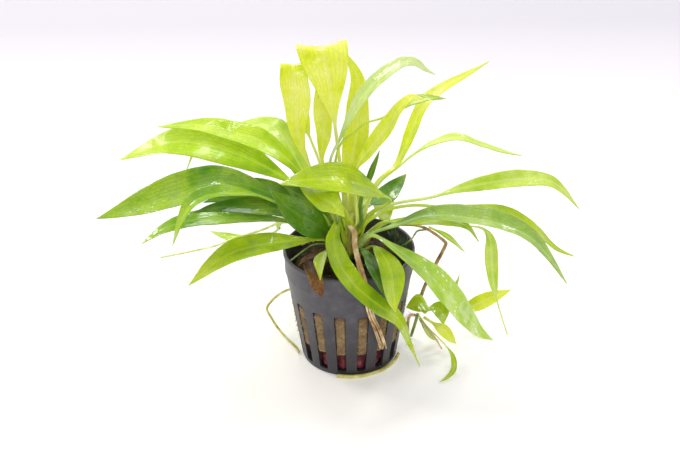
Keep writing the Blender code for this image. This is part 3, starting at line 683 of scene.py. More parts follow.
# Each leaf: its seat on the crown (degrees, height), the blade's full width, how far the blade is
# rolled about its midrib at the foot, the middle and the tip (degrees), and the places its midrib
# passes through, the last being the tip. facing is the direction of the underside of an upright
# leaf. start and end are where the blade begins and ends along the leaf, belly is where it is
# widest, and swell and slim say how late it widens towards the belly and how soon it narrows after.
# look names the tissue, cup says how far the margins rise and wave how far they ripple.
LEAVES = [
    Leaf("leaf_left_1", (165, 57.5), 12.5, (-10, -15, -10),
         [(-21, 3, 83), (-32, 6, 91), (-43, 9, 94), (-56, 12, 96), (-74, 16, 94)],
         look="sunny"),
    Leaf("leaf_left_2", (172, 54), 16, (-20, -32, -20),
         [(-19, 5, 72), (-32, 10, 79), (-42, 13, 83), (-56, 17, 86), (-70, 20, 85.5),
          (-82, 22, 81), (-92, 24, 76)], belly=0.5,
         look="sunny"),
    Leaf("leaf_left_3", (140, 57.5), 12, (-15, -10, 0),
         [(-19, 14, 77), (-23, 20, 83), (-30, 26, 89), (-43, 30, 87), (-56, 33, 81),
          (-62, 34, 76), (-67, 33, 66)], start=0.1, belly=0.3, look="light"),
    Leaf("leaf_left_4", (190, 50.5), 15.5, (-10, -25, -25),
         [(-19, -3, 68), (-26, -5, 73), (-39, -7, 80), (-50, -9, 82), (-63, -11, 79),
          (-78, -13, 75), (-94, -16, 71)], belly=0.58, look="deep", cup=0.3),
    Leaf("leaf_left_5", (215, 58), 8.5, (0, -5, -10),
         [(-24, -11, 73), (-36, -15, 80), (-49, -19, 82), (-56, -23, 81), (-61, -24, 74),
          (-65, -25, 64)], start=0.4, look="mid", cup=0.4),
    Leaf("leaf_left_6", (160, 50.5), 11, (0, -25, -20),
         [(-15, 1, 64), (-24, 1, 69), (-36, 0, 74), (-47, -1, 72), (-56, -2, 70)],
         look="dark", cup=0.3),
    Leaf("leaf_left_7", (216, 50.5), 10, (0, -20, -15),
         [(-15, -8, 63), (-26, -9, 70), (-39, -12, 73), (-50, -14, 74), (-58, -16, 73)],
         look="dark", cup=0.3),
    Leaf("leaf_left_8", (186, 48), 10, (0, -8, -10),
         [(-10, -5, 56), (-19, -6, 62), (-30, -8, 66), (-45, -9, 67), (-60, -11, 67),
          (-70, -14, 65), (-78, -18, 61)], belly=0.6,
         look="mid"),
    Leaf("leaf_left_9", (209, 47), 11.5, (0, -15, -15),
         [(-8.5, -9.5, 57), (-12, -13, 59.5), (-21, -18.5, 62), (-32, -22, 62.5), (-42, -26, 62),
          (-50, -30, 59), (-59, -35, 53)], belly=0.5),
    Leaf("leaf_left_10", (232, 53), 13.5, (-30, -60, -55),
         [(-10, -9, 62), (-16, -12.5, 68), (-22, -15.5, 74), (-26, -17, 79.5), (-29, -17, 83)],
         start=0.1, look="dark"),
    Leaf("leaf_left_11", (194, 57), 9, (-20, -30, -30),
         [(-9, -2, 65), (-16, -3, 71), (-22, -6, 77), (-25, -8, 81)], look="dark"),
    Leaf("leaf_centre_1", (345, 57.5), 17, (0, -20, -20),
         [(10, -1, 65), (16, -1, 69), (12, -6, 75), (4, -10, 81), (-5, -14, 85), (-16, -18, 87),
          (-25, -21, 87)], facing=200, start=0.3),
    Leaf("leaf_centre_2", (275, 61), 12, (0, -20, -20),
         [(-3, -8, 71), (-9, -12, 78.5), (-13, -16.5, 82), (-11, -20.5, 81.5), (-6, -22.5, 79.5),
          (-1.5, -23.5, 74.5)], start=0.3, belly=0.5),
    Leaf("leaf_upright_1", (185, 61), 11, (10, 15, 0),
         [(-15, 4, 82), (-19, 5, 96), (-19, 6, 108), (-20, 7, 116), (-20, 9, 120),
          (-21, 14, 119), (-22, 18, 110)], facing=100, start=0.3, belly=0.6, look="glowing"),
    Leaf("leaf_upright_2", (95, 61), 19, (0, -15, 0),
         [(-3, 2, 83), (-4, 2, 92), (-5, 3, 101), (-6, 4, 109), (-7, 5, 118), (-8, 6, 124),
          (-9, 9, 127), (-10, 14, 126), (-11, 19, 116)], facing=90, start=0.4, belly=0.72,
         swell=1.8, look="glowing"),
    Leaf("leaf_upright_3", (68, 61), 10, (0, -10, -20),
         [(1, 6, 73), (1, 8, 80), (3, 10, 90), (4, 12, 102), (4, 14, 113), (1, 16, 120),
          (-2, 17, 124)], facing=85, start=0.08, look="glowing"),
    Leaf("leaf_upright_4", (128, 61), 7.5, (0, -25, -20),
         [(-10, 11, 81), (-9, 13, 93), (-10, 15, 105), (-11, 17, 114)], facing=90,
         start=0.35, belly=0.55, look="glowing"),
    Leaf("leaf_upright_5", (156, 61), 6, (0, -20, -20),
         [(-11, 8, 82), (-16, 10, 96), (-18, 11, 104), (-20, 12, 112)], facing=90, start=0.6,
         look="glowing"),
    Leaf("leaf_upright_6", (215, 61), 8.5, (0, 30, 30),
         [(-7, -3, 86), (-3, -4, 97), (1, -5, 106), (6, -6, 115), (13, -7, 123), (20, -8, 128),
          (24, -9, 128), (27, -10, 126), (31, -11, 124)], start=0.35, look="misty"),
    Leaf("leaf_upright_7", (245, 61), 6, (0, 10, 10),
         [(-5, -4, 86), (-2, -4, 96), (2, -4, 99), (6, -2, 102), (13, 1, 103), (23, 1, 109),
          (30, 0, 111), (36, -1, 111)], start=0.7),
    Leaf("leaf_upright_8", (322, 61), 9, (0, 40, 30),
         [(3, 0, 82), (8, -3, 92), (15, -6, 103), (19, -8, 111), (23, -9, 115), (28, -10, 114)],
         start=0.2, belly=0.55, look="glowing"),
    Leaf("leaf_right_1", (5, 57.5), 6.5, (0, 20, 20),
         [(11, 4, 75), (18, 5, 81), (22, 6, 89), (25, 7, 97), (29, 8, 106), (35, 9, 111),
          (44, 10, 116), (53, 11, 121)], look="glowing"),
    Leaf("leaf_right_2", (29, 57.5), 7, (0, 0, 0),
         [(12, 7, 73), (20, 8, 80), (25, 9, 84), (32, 10, 88), (42, 11, 90), (51, 11, 87),
          (60, 11, 84), (68, 11, 82)], start=0.42, look="light"),
    Leaf("leaf_right_3", (15, 54), 8.5, (0, 25, 25),
         [(8, 2, 62), (18, 3, 66), (32, 4, 68), (43, 5, 71), (55, 6, 73), (67, 7, 74),
          (78, 7, 73), (83, 6, 70), (91, 5, 61)], start=0.33, belly=0.5, look="light"),
    Leaf("leaf_right_4", (342, 54), 7.5, (0, 15, 15),
         [(7, -6, 63), (16, -8, 69.5), (24, -8, 71), (31, -7, 70), (38, -7, 69), (48, -7, 68),
          (62, -6, 65), (73, -5, 57), (81, -4, 49), (89, -4, 45)], start=0.35),
    Leaf("leaf_right_5", (324, 53), 11, (0, 10, 10),
         [(8, -10, 60), (19, -12, 65), (30, -13, 69), (45, -16, 69), (58, -18, 67),
          (67, -20, 63), (74, -22, 56), (82, -25, 45)], start=0.08, belly=0.5, look="grey", cup=0.45),
    Leaf("leaf_right_6", (348, 50.5), 7, (0, 10, 10),
         [(12, -4, 61), (23, -6, 63), (37, -8, 64), (45, -9, 62), (50, -9, 55)]),
    Leaf("leaf_right_7", (8, 50.5), 5.5, (0, 0, 0),
         [(14, 4, 57), (28, 6, 56), (44, 8, 53), (53, 9, 51.5), (56.5, 9, 48), (58, 8, 36),
          (60, 8, 23), (63, 7, 12), (66.5, 5, 1.5)], facing=270, start=0.48, belly=0.42,
         end=0.82, slim=0.6, look="light"),
    Leaf("leaf_right_8", (305, 50), 14, (0, 30, 35),
         [(9, -13, 61), (17, -16, 57), (26, -17, 50), (35, -15, 39), (44, -10, 25), (53, -3, 10),
          (60, 2, 1.5)], start=0.12, belly=0.5, look="worn"),
    Leaf("leaf_small_1", (42, 60.5), 10, (0, 10, 10),
         [(8, 8, 63), (16, 11, 66), (19, 12, 69), (23, 13, 74)], look="dark"),
    Leaf("leaf_small_2", (352, 61), 4, (0, -30, -30),
         [(5, 1, 70), (8, 2, 77), (12, 3, 89)], facing=60, look="dark"),
    Leaf("leaf_front_1", (255, 54), 10, (0, 10, 10),
         [(-4, -9, 64), (-6, -16, 61), (-4, -24, 56), (1, -31, 51), (9, -32, 43),
          (18, -28, 33), (23, -24, 19), (28, -18, 3)], start=0.02, belly=0.3, swell=1.0, slim=1.4),
    Leaf("leaf_front_2", (261, 47.5), 8, (0, 40, 40),
         [(-9, -15.5, 56), (-10.5, -23, 55.7), (-11, -29, 51)], start=0.35),
    Leaf("leaf_front_3", (300, 47), 11, (0, -10, -10),
         [(9, -11, 55), (12, -18, 56), (15, -25, 53), (16, -29, 46), (17, -30, 37)],
         belly=0.6),
    Leaf("leaf_front_4", (278, 47), 8, (0, -30, -30),
         [(5, -13, 55), (8, -20, 53), (9, -25, 52), (11, -28, 49), (14, -29, 43)], look="dark"),
    Leaf("leaf_back_1", (62, 54), 11, (0, 0, 0),
         [(6, 12, 60), (10, 25, 58), (14, 40, 49), (16, 50, 36), (17, 56, 24)]),
    Leaf("leaf_back_2", (86, 54), 13, (0, 10, 10),
         [(2, 14, 64), (4, 28, 63), (5, 43, 54), (6, 54, 40), (7, 60, 28)]),
    Leaf("leaf_back_3", (110, 54), 12, (0, -10, -10),
         [(-4, 14, 63), (-7, 29, 63), (-10, 45, 54), (-12, 57, 40), (-13, 63, 28)]),
    Leaf("leaf_back_4", (135, 52), 11, (0, 10, 10),
         [(-9, 12, 58), (-16, 25, 57), (-23, 40, 48), (-29, 52, 35), (-32, 58, 24)]),
]


def curve_through(points, fineness=12):
    """A smooth centripetal curve through the points, as a dense list."""
    pts = [Vector(p) for p in points]
    pts = [2 * pts[0] - pts[1]] + pts + [2 * pts[-1] - pts[-2]]
    dense = []
    for i in range(1, len(pts) - 2):
        p0, p1, p2, p3 = pts[i - 1:i + 3]
        t0 = 0.0
        t1 = t0 + math.sqrt((p1 - p0).length)
        t2 = t1 + math.sqrt((p2 - p1).length)
        t3 = t2 + math.sqrt((p3 - p2).length)
        for step in range(fineness):
            t = t1 + (t2 - t1) * step / fineness
            a1 = p0.lerp(p1, (t - t0) / (t1 - t0))
            a2 = p1.lerp(p2, (t - t1) / (t2 - t1))
            a3 = p2.lerp(p3, (t - t2) / (t3 - t2))
            b1 = a1.lerp(a2, (t - t0) / (t2 - t0))
            b2 = a2.lerp(a3, (t - t1) / (t3 - t1))
            dense.append(b1.lerp(b2, (t - t1) / (t2 - t1)))
    dense.append(pts[-2])
    return dense


def even_stations(dense, count):
    """Points at equal distances along a dense line, as (point, direction, share, run in mm)."""
    lengths = [0.0]
    for before, after in zip(dense, dense[1:]):
        lengths.append(lengths[-1] + (after - before).length)
    places = []
    leg = 0
    for i in range(count):
        wanted = lengths[-1] * i / (count - 1)
        while leg < len(dense) - 2 and lengths[leg + 1] < wanted:
            leg += 1
        part = (wanted - lengths[leg]) / (lengths[leg + 1] - lengths[leg])
        places.append(dense[leg].lerp(dense[leg + 1], part))
    stations = []
    for i, point in enumerate(places):
        direction = (places[min(i + 1, count - 1)] - places[max(i - 1, 0)]).normalized()
        share = i / (count - 1)
        stations.append((point, direction, share, share * lengths[-1]))
    return stations


def blend_three(values, share):
    """Reads a foot, middle and tip value at a share of the length."""
    foot, middle, tip = values
    if share < 0.5:
        return foot + (middle - foot) * share * 2
    return middle + (tip - middle) * (share * 2 - 1)


def blade_share(leaf, share):
    """How wide the blade is at a share of the leaf's length, from 0 at its foot and tip to 1."""
    along = (share - leaf.start) / (leaf.end - leaf.start)
    if along <= 0 or along >= 1:
        return 0.0
    if along < leaf.belly:
        return math.sin(math.pi / 2 * along / leaf.belly) ** leaf.swell
    return math.cos(math.pi / 2 * (along - leaf.belly) / (1 - leaf.belly)) ** leaf.slim


def leaf_seat(leaf):
    """Where the stalk leaves the crown, and the point inside the crown that it comes from."""
    angle, height = leaf.seat
    rise = (height - CROWN_BOTTOM) / (CROWN_TOP - CROWN_BOTTOM)
    reach = CROWN_RADIUS + (CROWN_TOP_RADIUS - CROWN_RADIUS) * rise + SEAT_CLEARANCE
    out = Vector((math.cos(math.radians(angle)), math.sin(math.radians(angle)), 0))
    up = Vector((0, 0, 1))
    return out * reach + up * height, out * STALK_START[0] + up * (height - STALK_START[1])


def leaf_section(leaf, share, run, number):
    """The ring round the leaf at one station: (share across, mm across, mm up) of each vertex."""
    petiole = min(PETIOLE_WIDTH, leaf.width * PETIOLE_SHARE)
    blade = blade_share(leaf, share)
    taper = 1 - STALK_TAPER * share
    sheath = SHEATH_WIDTH / 2 * max(0.0, 1 - run / SHEATH_LENGTH) ** 2 if leaf.seat else 0.0
    half = max(petiole / 2 * taper + sheath, leaf.width / 2 * blade)
    flat = min(1.0, blade * BLADE_FLATTENING)
    cells = [(cell, 1) for cell in range(LEAF_CELLS + 1)]
    cells += [(cell, -1) for cell in range(LEAF_CELLS - 1, 0, -1)]
    large_shift, small_shift = (number * shift for shift in RUFFLE_SHIFTS)
    ring = []
    for cell, face in cells:
        u = -math.cos(math.pi * cell / LEAF_CELLS)
        roundness = math.sqrt(max(0.0, 1 - u * u))
        round_depth = petiole * PETIOLE_ROUNDNESS / 2 * taper * roundness
        rib = RIB_THICKNESS / 2 * (1 - share) * math.exp(-(u * half / RIB_SPREAD) ** 2)
        skin = LEAF_THICKNESS / 2 * min(1.0, EDGE_FULLNESS * roundness)
        flat_depth = skin + (rib if face < 0 else RIB_ABOVE * rib)
        depth = round_depth + (flat_depth - round_depth) * flat
        side = MARGIN_SHIFT if u < 0 else 0.0
        swing = math.sin(2 * math.pi * (run / RUFFLE_LENGTH + side + large_shift))
        swing += 0.5 * math.sin(2 * math.pi * (run / RUFFLE_LENGTH * SMALL_RUFFLES + side * 2
                                               + small_shift))
        lift = leaf.cup * half * blade * abs(u) ** CUP_CURVE + leaf.wave * blade * u * u * swing
        ring.append((u, u * half, lift + face * depth))
    return ring


def leaf_mesh(leaf, number):
    """A closed leaf. Two attributes keep where each vertex lies on it, for the material."""
    path = [Vector(point) for point in leaf.points]
    inner = None
    if leaf.seat:
        seat, inner = leaf_seat(leaf)
        path.insert(0, seat)
    foot, tip = path[0], path[-1]
    facing = math.atan2(tip.y - foot.y, tip.x - foot.x)
    if leaf.facing is not None:
        facing = math.radians(leaf.facing)
    sideways = Vector((-math.sin(facing), math.cos(facing), 0))
    stations = even_stations(curve_through(path), LEAF_STATIONS)
    if inner:
        rise = (foot - inner).normalized()
        stations = [(inner.lerp(foot, part), rise, 0.0, 0.0) for part in (0, 0.4, 0.75)] + stations
    vertices, places, shares = [], [], []
    for point, tangent, share, run in stations[:-1]:
        across = (sideways - tangent * sideways.dot(tangent)).normalized()
        upper = tangent.cross(across)
        roll = math.radians(blend_three(leaf.rolls, share))
        across, upper = (across * math.cos(roll) + upper * math.sin(roll),
                         upper * math.cos(roll) - across * math.sin(roll))
        for u, width, lift in leaf_section(leaf, share, run, number):
            vertices.append((point + across * width + upper * lift) * MM)
            places.append((width, run, number * PATTERN_STEP))
            shares.append((u, share, blade_share(leaf, share)))
    last = len(vertices)
    vertices.append(tip * MM)
    places.append((0, stations[-1][3], number * PATTERN_STEP))
    shares.append((0, 1, 0))
    size = 2 * LEAF_CELLS
    faces = ring_faces(len(stations) - 1, size)
    faces.append(tuple(range(size - 1, -1, -1)))
    faces += [(last - size + side, last - size + (side + 1) % size, last) for side in range(size)]
    mesh = new_mesh(leaf.name, vertices, faces)
    for name, values in (("leaf_place", places), ("leaf_share", shares)):
        attribute = mesh.attributes.new(name, "FLOAT_VECTOR", "POINT")
        attribute.data.foreach_set("vector", [part for value in values for part in value])
    face_outward(mesh)
    return mesh


def leaf_tissue(name, shades, rib_shade, vein_contrast=0.4, holes=0.0, fade=0.2, wetness=1.0):
    """Thin leaf tissue from three shades of green, with veins that run along and across.

    fade is how much lighter the tissue turns towards the tip, wetness how much it shines,
    and holes is the share of small cells that have been eaten or worn through to a pale skin.
    """
    skin = Surface(name, "leaf_place")
    calc, remap = skin.calc, skin.remap
    across = skin.parts(skin.place)["X"]
    part = skin.parts(skin.attribute("leaf_share", "Vector"))
    # Greener and yellower clouds, about 14 mm wide, and tissue that is lighter towards the tip: older
    # tissue there, and where fade is large, as on the shaded leaves, painted shade on the foot near the
    # crown.
    clouds = skin.noise(0.07, 3.0, Roughness=0.6)
    tint = skin.ramp(calc("MULTIPLY_ADD", part["Y"], fade, clouds),
                     list(zip((0.36, 0.58, 0.84), shades)))
    # Veins along the blade that draw together towards the tip.
    wave = calc("COSINE", calc("MULTIPLY", part["X"], VEINS * math.pi))
    veins = calc("POWER", calc("ABSOLUTE", wave), VEIN_SHARPNESS)
    # Cross veins make a net with meshes about 0.9 mm wide and 1.8 mm long.
    drawn = skin.stretched(1.1, 0.55, 1.0)
    net = skin.add("ShaderNodeTexVoronoi", {"Vector": drawn, "Scale": 1.0},
                   feature="DISTANCE_TO_EDGE")
    lines = calc("MAXIMUM", veins, remap(net.outputs["Distance"], 0.02, 0.12, 0.8, 0.0))
    # Soaked spots about 2 mm wide and the thin margin are darker.
    soaked = remap(skin.noise(0.5, 5.0, drawn), 0.52, 0.7, 0.0, 0.4)
    margin = remap(calc("ABSOLUTE", part["X"]), 0.9, 1.0, 0.0, 0.5)
    dark = calc("MAXIMUM", calc("MULTIPLY", lines, vein_contrast), calc("MAXIMUM", soaked, margin))
    # The midrib is paler and fades out within 0.8 mm, and the stalk below the blade is paler too.
    rib = remap(calc("ABSOLUTE", across), 0.2, 0.8, 0.35, 0.0)
    pale = calc("MAXIMUM", rib, remap(part["Z"], 0.0, 0.25, 0.6, 0.0))
    colour = skin.blend(pale, skin.blend(dark, tint, shades[0]), rib_shade)
    if holes:
        # Worn cells lie between the veins, 0.7 mm wide and up to 2 mm long, in a few loose groups.
        cell = skin.add("ShaderNodeTexVoronoi", {"Vector": skin.stretched(0.75, 0.36, 1.0),
                                                 "Scale": 1.0}).outputs
        chosen = skin.add("ShaderNodeSeparateColor", {"Color": cell["Color"]})
        worn = calc("MULTIPLY", calc("LESS_THAN", chosen.outputs["Red"], holes),
                    remap(cell["Distance"], 0.24, 0.32, 1.0, 0.0))
        shown = calc("MULTIPLY", worn, remap(clouds, 0.5, 0.54))
        colour = skin.blend(shown, colour, "#fbfcf0")
    # A film of water lies in patches on the skin and mirrors the lamps.
    return skin.finish({
        "Base Color": colour, "Roughness": 0.5, "Specular IOR Level": 0.15,
        "Subsurface Weight": 0.6, "Subsurface Radius": (1.2 * MM, 1.4 * MM, 0.3 * MM),
        "Coat Weight": remap(skin.noise(0.16, 3.0), 0.42, 0.53, 0.0, wetness),
        "Coat Roughness": 0.12, "Normal": skin.relief(lines, 0.4, 0.12, invert=True),
        "Coat Normal": skin.relief(skin.noise(0.5, 2.0), 0.5, 0.5)})


# Most looks are lit and shaded copies of one green tissue, and their shades paint in the light each leaf
# gets. bright, sunny and light are painted sunlight, mid, deep and dark are painted shade, and glowing
# is the painted glow of backlit blades.
LEAF_SKINS = {
    "bright": leaf_tissue("sunlit_leaf_tissue", ("#78a208", "#b0cc10", "#d0e230"), "#d0e050"),
    "sunny": leaf_tissue("sunlit_upper_leaf_tissue", ("#86b40a", "#bcda1e", "#d8ec54"), "#dcec70",
                         wetness=0.5),
    "mid": leaf_tissue("half_shaded_leaf_tissue", ("#5a940c", "#8cb81a", "#b8d63c"), "#b8d454"),
    "glowing": leaf_tissue("backlit_leaf_tissue", ("#bcd40e", "#eaf23c", "#f8fa88"), "#f0f2a0"),
    "light": leaf_tissue("light_green_leaf_tissue", ("#98c028", "#c6e04e", "#e0ee84"), "#e4f0a0",
                         wetness=0.5),
    "misty": leaf_tissue("frosted_leaf_tissue", ("#a0c454", "#d0e48c", "#eaf2b8"), "#dcecac"),
    "grey": leaf_tissue("grey_green_leaf_tissue", ("#749c3c", "#a8ca58", "#cce084"), "#c8dc94", 0.5),
    "deep": leaf_tissue("shaded_leaf_tissue", ("#2f6a08", "#649a12", "#a4c62c"), "#8cb440", 0.35,
                        0.0, 0.45),
    "dark": leaf_tissue("dark_leaf_tissue", ("#34640c", "#5c8e18", "#90b02c"), "#84a83c", 0.35),
    "worn": leaf_tissue("worn_leaf_tissue", ("#8cba28", "#b8da50", "#d4e870"), "#d0e488", 0.4, 0.45),
}
CAD_SLOTS = {look: "leaf_dark" if look in ("deep", "dark") else "leaf_bright" for look in LEAF_SKINS}


def add_leaf(leaf, number, name, *nodes):
    show(name, leaf_mesh(leaf, number), LEAF_SKINS[leaf.look], CAD_SLOTS[leaf.look], *nodes,
         crease=70)


for number, leaf in enumerate(LEAVES):
    add_leaf(leaf, number, leaf.name + "_blade", leaf.name)


# Everything thin and round, such as the runner, the stolons and the roots, is a path with a
# thickness that a tree of Geometry Nodes turns into a slightly knotty stem.
STEM_FINENESS = 10           # points of the path between two given points
KNOT_LENGTH = 2.5

stems = GeometryTree("stem_along_a_path", {
    "Sides": "Int", "Knot Height": "Float", "Knot Length": "Float", "Material": "Material"})
given = stems.given
line = stems.add("GeometryNodeMeshToCurve", {"Mesh": given["Geometry"]})
thick = stems.add("GeometryNodeInputNamedAttribute", {"Name": "stem_radius"}, data_type="FLOAT")
round_profile = stems.add("GeometryNodeCurvePrimitiveCircle", {"Resolution": given["Sides"],
                                                               "Radius": 1.0})
tube = stems.add("GeometryNodeCurveToMesh", {
    "Curve": line.outputs["Curve"], "Profile Curve": round_profile.outputs["Curve"],
    "Scale": thick.outputs["Attribute"], "Fill Caps": True})
spot = stems.add("GeometryNodeInputPosition")
knots = stems.add("ShaderNodeTexNoise", {
    "Vector": spot.outputs["Position"], "Scale": stems.calc("DIVIDE", 1.0, given["Knot Length"]),
    "Detail": 2.0})
swell = stems.calc("MULTIPLY", stems.calc("SUBTRACT", knots.outputs["Fac"], 0.5),
                   given["Knot Height"])
outward = stems.add("GeometryNodeInputNormal")
push = stems.add("ShaderNodeVectorMath", {0: outward.outputs["Normal"], "Scale": swell},
                 operation="SCALE")
knotty = stems.add("GeometryNodeSetPosition", {"Geometry": tube.outputs["Mesh"],
                                               "Offset": push.outputs["Vector"]})
stems.hand_out(knotty.outputs["Geometry"])


def path_object(name, paths):
    """A source object of lines: each path is a list of points in mm and one of radii in mm."""
    vertices, edges, radii, runs = [], [], [], []
    for points, thickness in paths:
        dense = curve_through(points, STEM_FINENESS)
        first = len(vertices)
        run = 0.0
        for i, point in enumerate(dense):
            share = i / (len(dense) - 1) * (len(thickness) - 1)
            leg = min(int(share), len(thickness) - 2)
            radius = thickness[leg] + (thickness[leg + 1] - thickness[leg]) * (share - leg)
            if i:
                run += (point - dense[i - 1]).length
                edges.append((first + i - 1, first + i))
            vertices.append(point * MM)
            radii.append(radius * MM)
            runs.append(run)
    mesh = new_mesh(name, vertices, [], edges)
    for attribute_name, values in (("stem_radius", radii), ("stem_run", runs)):
        attribute = mesh.attributes.new(attribute_name, "FLOAT", "POINT")
        attribute.data.foreach_set("value", values)
    return put_in_scene(name + "_path", mesh)


def add_stem(name, paths, material, slot, *nodes, knot=0.25, sides=12):
    """Grows one piece from its paths. knot is how far it swells and shrinks, in mm."""
    values = {"Sides": sides, "Knot Height": knot * MM, "Knot Length": KNOT_LENGTH * MM}
    stems.grow(name, path_object(name, paths), values, material, slot, *nodes, crease=60)


def stem_skin(name, shades, roughness):
    """The skin of a stem or root: small patches in three shades that change slowly along it."""
    skin = Surface(name)
    run = skin.attribute("stem_run", "Fac")
    patches = skin.noise(350.0, 4.0)
    slow = skin.add("ShaderNodeTexNoise", {"W": run, "Scale": 0.12, "Detail": 1.0},
                    noise_dimensions="1D")
    both = skin.add("ShaderNodeMix", {0: 0.5, 2: patches, 3: slow.outputs["Fac"]}).outputs[0]
    return skin.finish({
        "Base Color": skin.ramp(both, list(zip((0.38, 0.5, 0.62), shades))),
        "Roughness": roughness, "Subsurface Weight": 0.15,
        "Subsurface Radius": (0.8 * MM, 0.6 * MM, 0.2 * MM),
        "Normal": skin.relief(patches, 0.5, 0.15)})


# The dried stem is a bundle of tan strands that has split and fans out towards its end. It leans
# over the rim and down the front of the pot.
dried_fibre = stem_skin("dried_stem_fibre", ("#967040", "#cca874", "#efdcb6"), 0.45)
DRIED_STEM = [(0, -7, 62), (2, -11, 61), (2, -14, 58), (3, -19, 55), (4, -23, 52.5), (5, -26.5, 50),
              (6, -27.5, 45), (8, -27, 34), (10, -26, 28), (12, -23.5, 20), (13, -21.5, 15)]
STRANDS = 6
STRAND_SPREAD = 0.45         # how far a strand lies from the middle at the top
STRAND_FAN = 0.09            # and how much further at each point after it
STRAND_TWIST = 0.25
STRAND_FLATNESS = 0.4        # the bundle's depth as a share of its width
STRAND_RADII = (0.5, 0.42, 0.36, 0.2)
strand_paths = []
for strand in range(STRANDS):
    points = []
    for i, (x, y, z) in enumerate(DRIED_STEM):
        turn = 2 * math.pi * strand / STRANDS + i * STRAND_TWIST
        spread = STRAND_SPREAD + STRAND_FAN * i
        points.append((x + spread * math.cos(turn), y + STRAND_FLATNESS * spread * math.sin(turn), z))
    strand_paths.append((points, STRAND_RADII))
add_stem("dried_stem_strands", strand_paths, dried_fibre, "stem_brown", "dried_stem", knot=0.3)


# The runner is a brown stem, thin where it arches out of the crown and stouter towards its end,
# where it bends and hangs down to the plantlet. Two short stems, brown and olive, hang below it.
runner_skin = stem_skin("brown_runner_skin", ("#74582c", "#a8864e", "#c8b07c"), 0.5)
olive_skin = stem_skin("olive_stem_skin", ("#4c6326", "#6f8a3a", "#93a458"), 0.45)
add_stem("runner_stem", [([(6.2, 0, 47.5), (9, 0.5, 53), (13, 1, 56), (21, 2, 57), (27, 3, 56),
                           (31, 4, 54), (37.5, 4.8, 48.5), (38.8, 5, 46.8), (38.3, 5, 45),
                           (35, 5, 37), (31, 5, 27), (29, 6, 18), (29, 6, 14)],
                          (0.4, 0.4, 0.65, 0.75, 0.75))],
         runner_skin, "stem_brown", "runner")
add_stem("plantlet_stem_brown", [([(27.6, 6, 12), (25.5, 6, 12), (24.5, 6, 9), (24.5, 6, 4)],
                                  (0.6, 0.6))], runner_skin, "stem_brown", "plantlet_stem_1")
add_stem("plantlet_stem_olive", [([(28.6, 7, 12), (27.5, 7, 7), (26, 7, 0.8)], (0.7, 0.6))],
         olive_skin, "stem_olive", "plantlet_stem_2")


# Pale yellow stolons run out of the pot to the left, behind the leaves. Olive-yellow roots come out
# of its slots, one in a loop at the left and one round its foot.
stolon_skin = stem_skin("pale_stolon_skin", ("#b9c46a", "#d6dd8e", "#ecefb8"), 0.4)
root_skin = stem_skin("yellow_root_skin", ("#a09a46", "#c6be64", "#e4dc98"), 0.45)
add_stem("stolon_long", [([(-14, 9, 46), (-24, 16, 51), (-37, 26, 42), (-48, 32, 35), (-58, 38, 28),
                           (-74, 42, 22), (-83, 44, 19)], (0.6, 0.5, 0.4))],
         stolon_skin, "stem_pale", "stolon_left_1")
add_stem("stolon_short", [([(-12, 12, 46), (-21, 19, 51.5), (-35, 28, 46), (-42, 32, 44)],
                           (0.6, 0.8))], stolon_skin, "stem_pale", "stolon_left_2")
add_stem("root_loop_left", [([(-18.7, 11.8, 22), (-25, 14.5, 20), (-29, 16, 17), (-33, 18, 12),
                              (-35, 17, 9), (-33, 13, 7), (-30, 8, 5), (-26, 3, 3), (-22, -1, 1.2),
                              (-21, -4, 0.9)], (0.5, 0.55, 0.5))],
         root_skin, "root_yellow", "root_loop")
FOOT_ROOT_REACH = POT_FOOT_RADIUS + 1.2
FOOT_ROOT_TURNS = range(-105, -14, 15)     # degrees, from the front left to the front right
foot_root = [(FOOT_ROOT_REACH * math.cos(math.radians(a)),
              FOOT_ROOT_REACH * math.sin(math.radians(a)), 0.8) for a in FOOT_ROOT_TURNS]
add_stem("root_round_foot", [(foot_root, (0.75, 0.7, 0.6))], root_skin, "root_yellow", "root_foot")


# Leaves that do not grow from the crown: one at the runner's bend, a young one on a stolon at the
# left, and the plantlet's at the end of the runner. The withered leaf hangs over the rim.
OUTER_LEAVES = [
    Leaf("runner_leaf", None, 4.5, (0, 0, 0),
         [(31.5, 3, 55.5), (36, 2, 53.5), (41, 1, 50), (46, 1, 45)], start=0.1),
    Leaf("young_leaf_left", None, 5, (0, -10, -10),
         [(-28, 17, 48), (-36, 22, 40), (-47, 28, 37), (-54, 30, 38), (-59, 32, 39)], start=0.4,
         look="light"),
    Leaf("plantlet_leaf_1", None, 9, (0, -25, -25),
         [(30.4, 3.5, 15.5), (32, 2, 19), (29, 0, 21.5), (23, -1, 20.5)], start=0.15),
    Leaf("plantlet_leaf_2", None, 8, (0, 25, 25),
         [(31.2, 5, 14), (34, 4, 17), (38, 3, 15.5), (39, 2.5, 9.5)], start=0.15),
    Leaf("plantlet_leaf_3", None, 4, (0, 0, 0),
         [(29, 4.4, 11.5), (31, 3, 8), (34, 2, 4), (37, 2, 2)], start=0.15),
    Leaf("plantlet_leaf_4", None, 5.5, (0, 25, 25),
         [(30.8, 3.2, 12.8), (35, 0, 11.5), (39, -2, 9), (44, -3, 3.5)], start=0.2, look="glowing"),
    Leaf("plantlet_leaf_5", None, 2.4, (0, 0, 0),
         [(28.4, 3.4, 14), (32, -4, 12.5), (37, -10, 10), (41, -16, 7), (41, -20, 3),
          (38, -23, 1.2), (35, -25, 0.6)], start=0.5),
    Leaf("plantlet_leaf_6", None, 7, (0, 30, 30),
         [(31, 7.5, 14), (40, 10, 12.5), (51, 12, 12), (60, 12.5, 16), (68, 12.5, 20)],
         start=0.35, look="glowing"),
    Leaf("dead_leaf", None, 5.5, (0, 0, 0),
         [(-7.6, 0.2, 46.9), (-12, -2, 47.2), (-15, -7, 48.2), (-15.3, -13.5, 49),
          (-14.6, -21, 50.8), (-12.6, -26.4, 50.2), (-10.4, -28.8, 43.5)], start=0.1, belly=0.76,
         slim=0.8, look="withered", cup=0.4, wave=0.4),
]
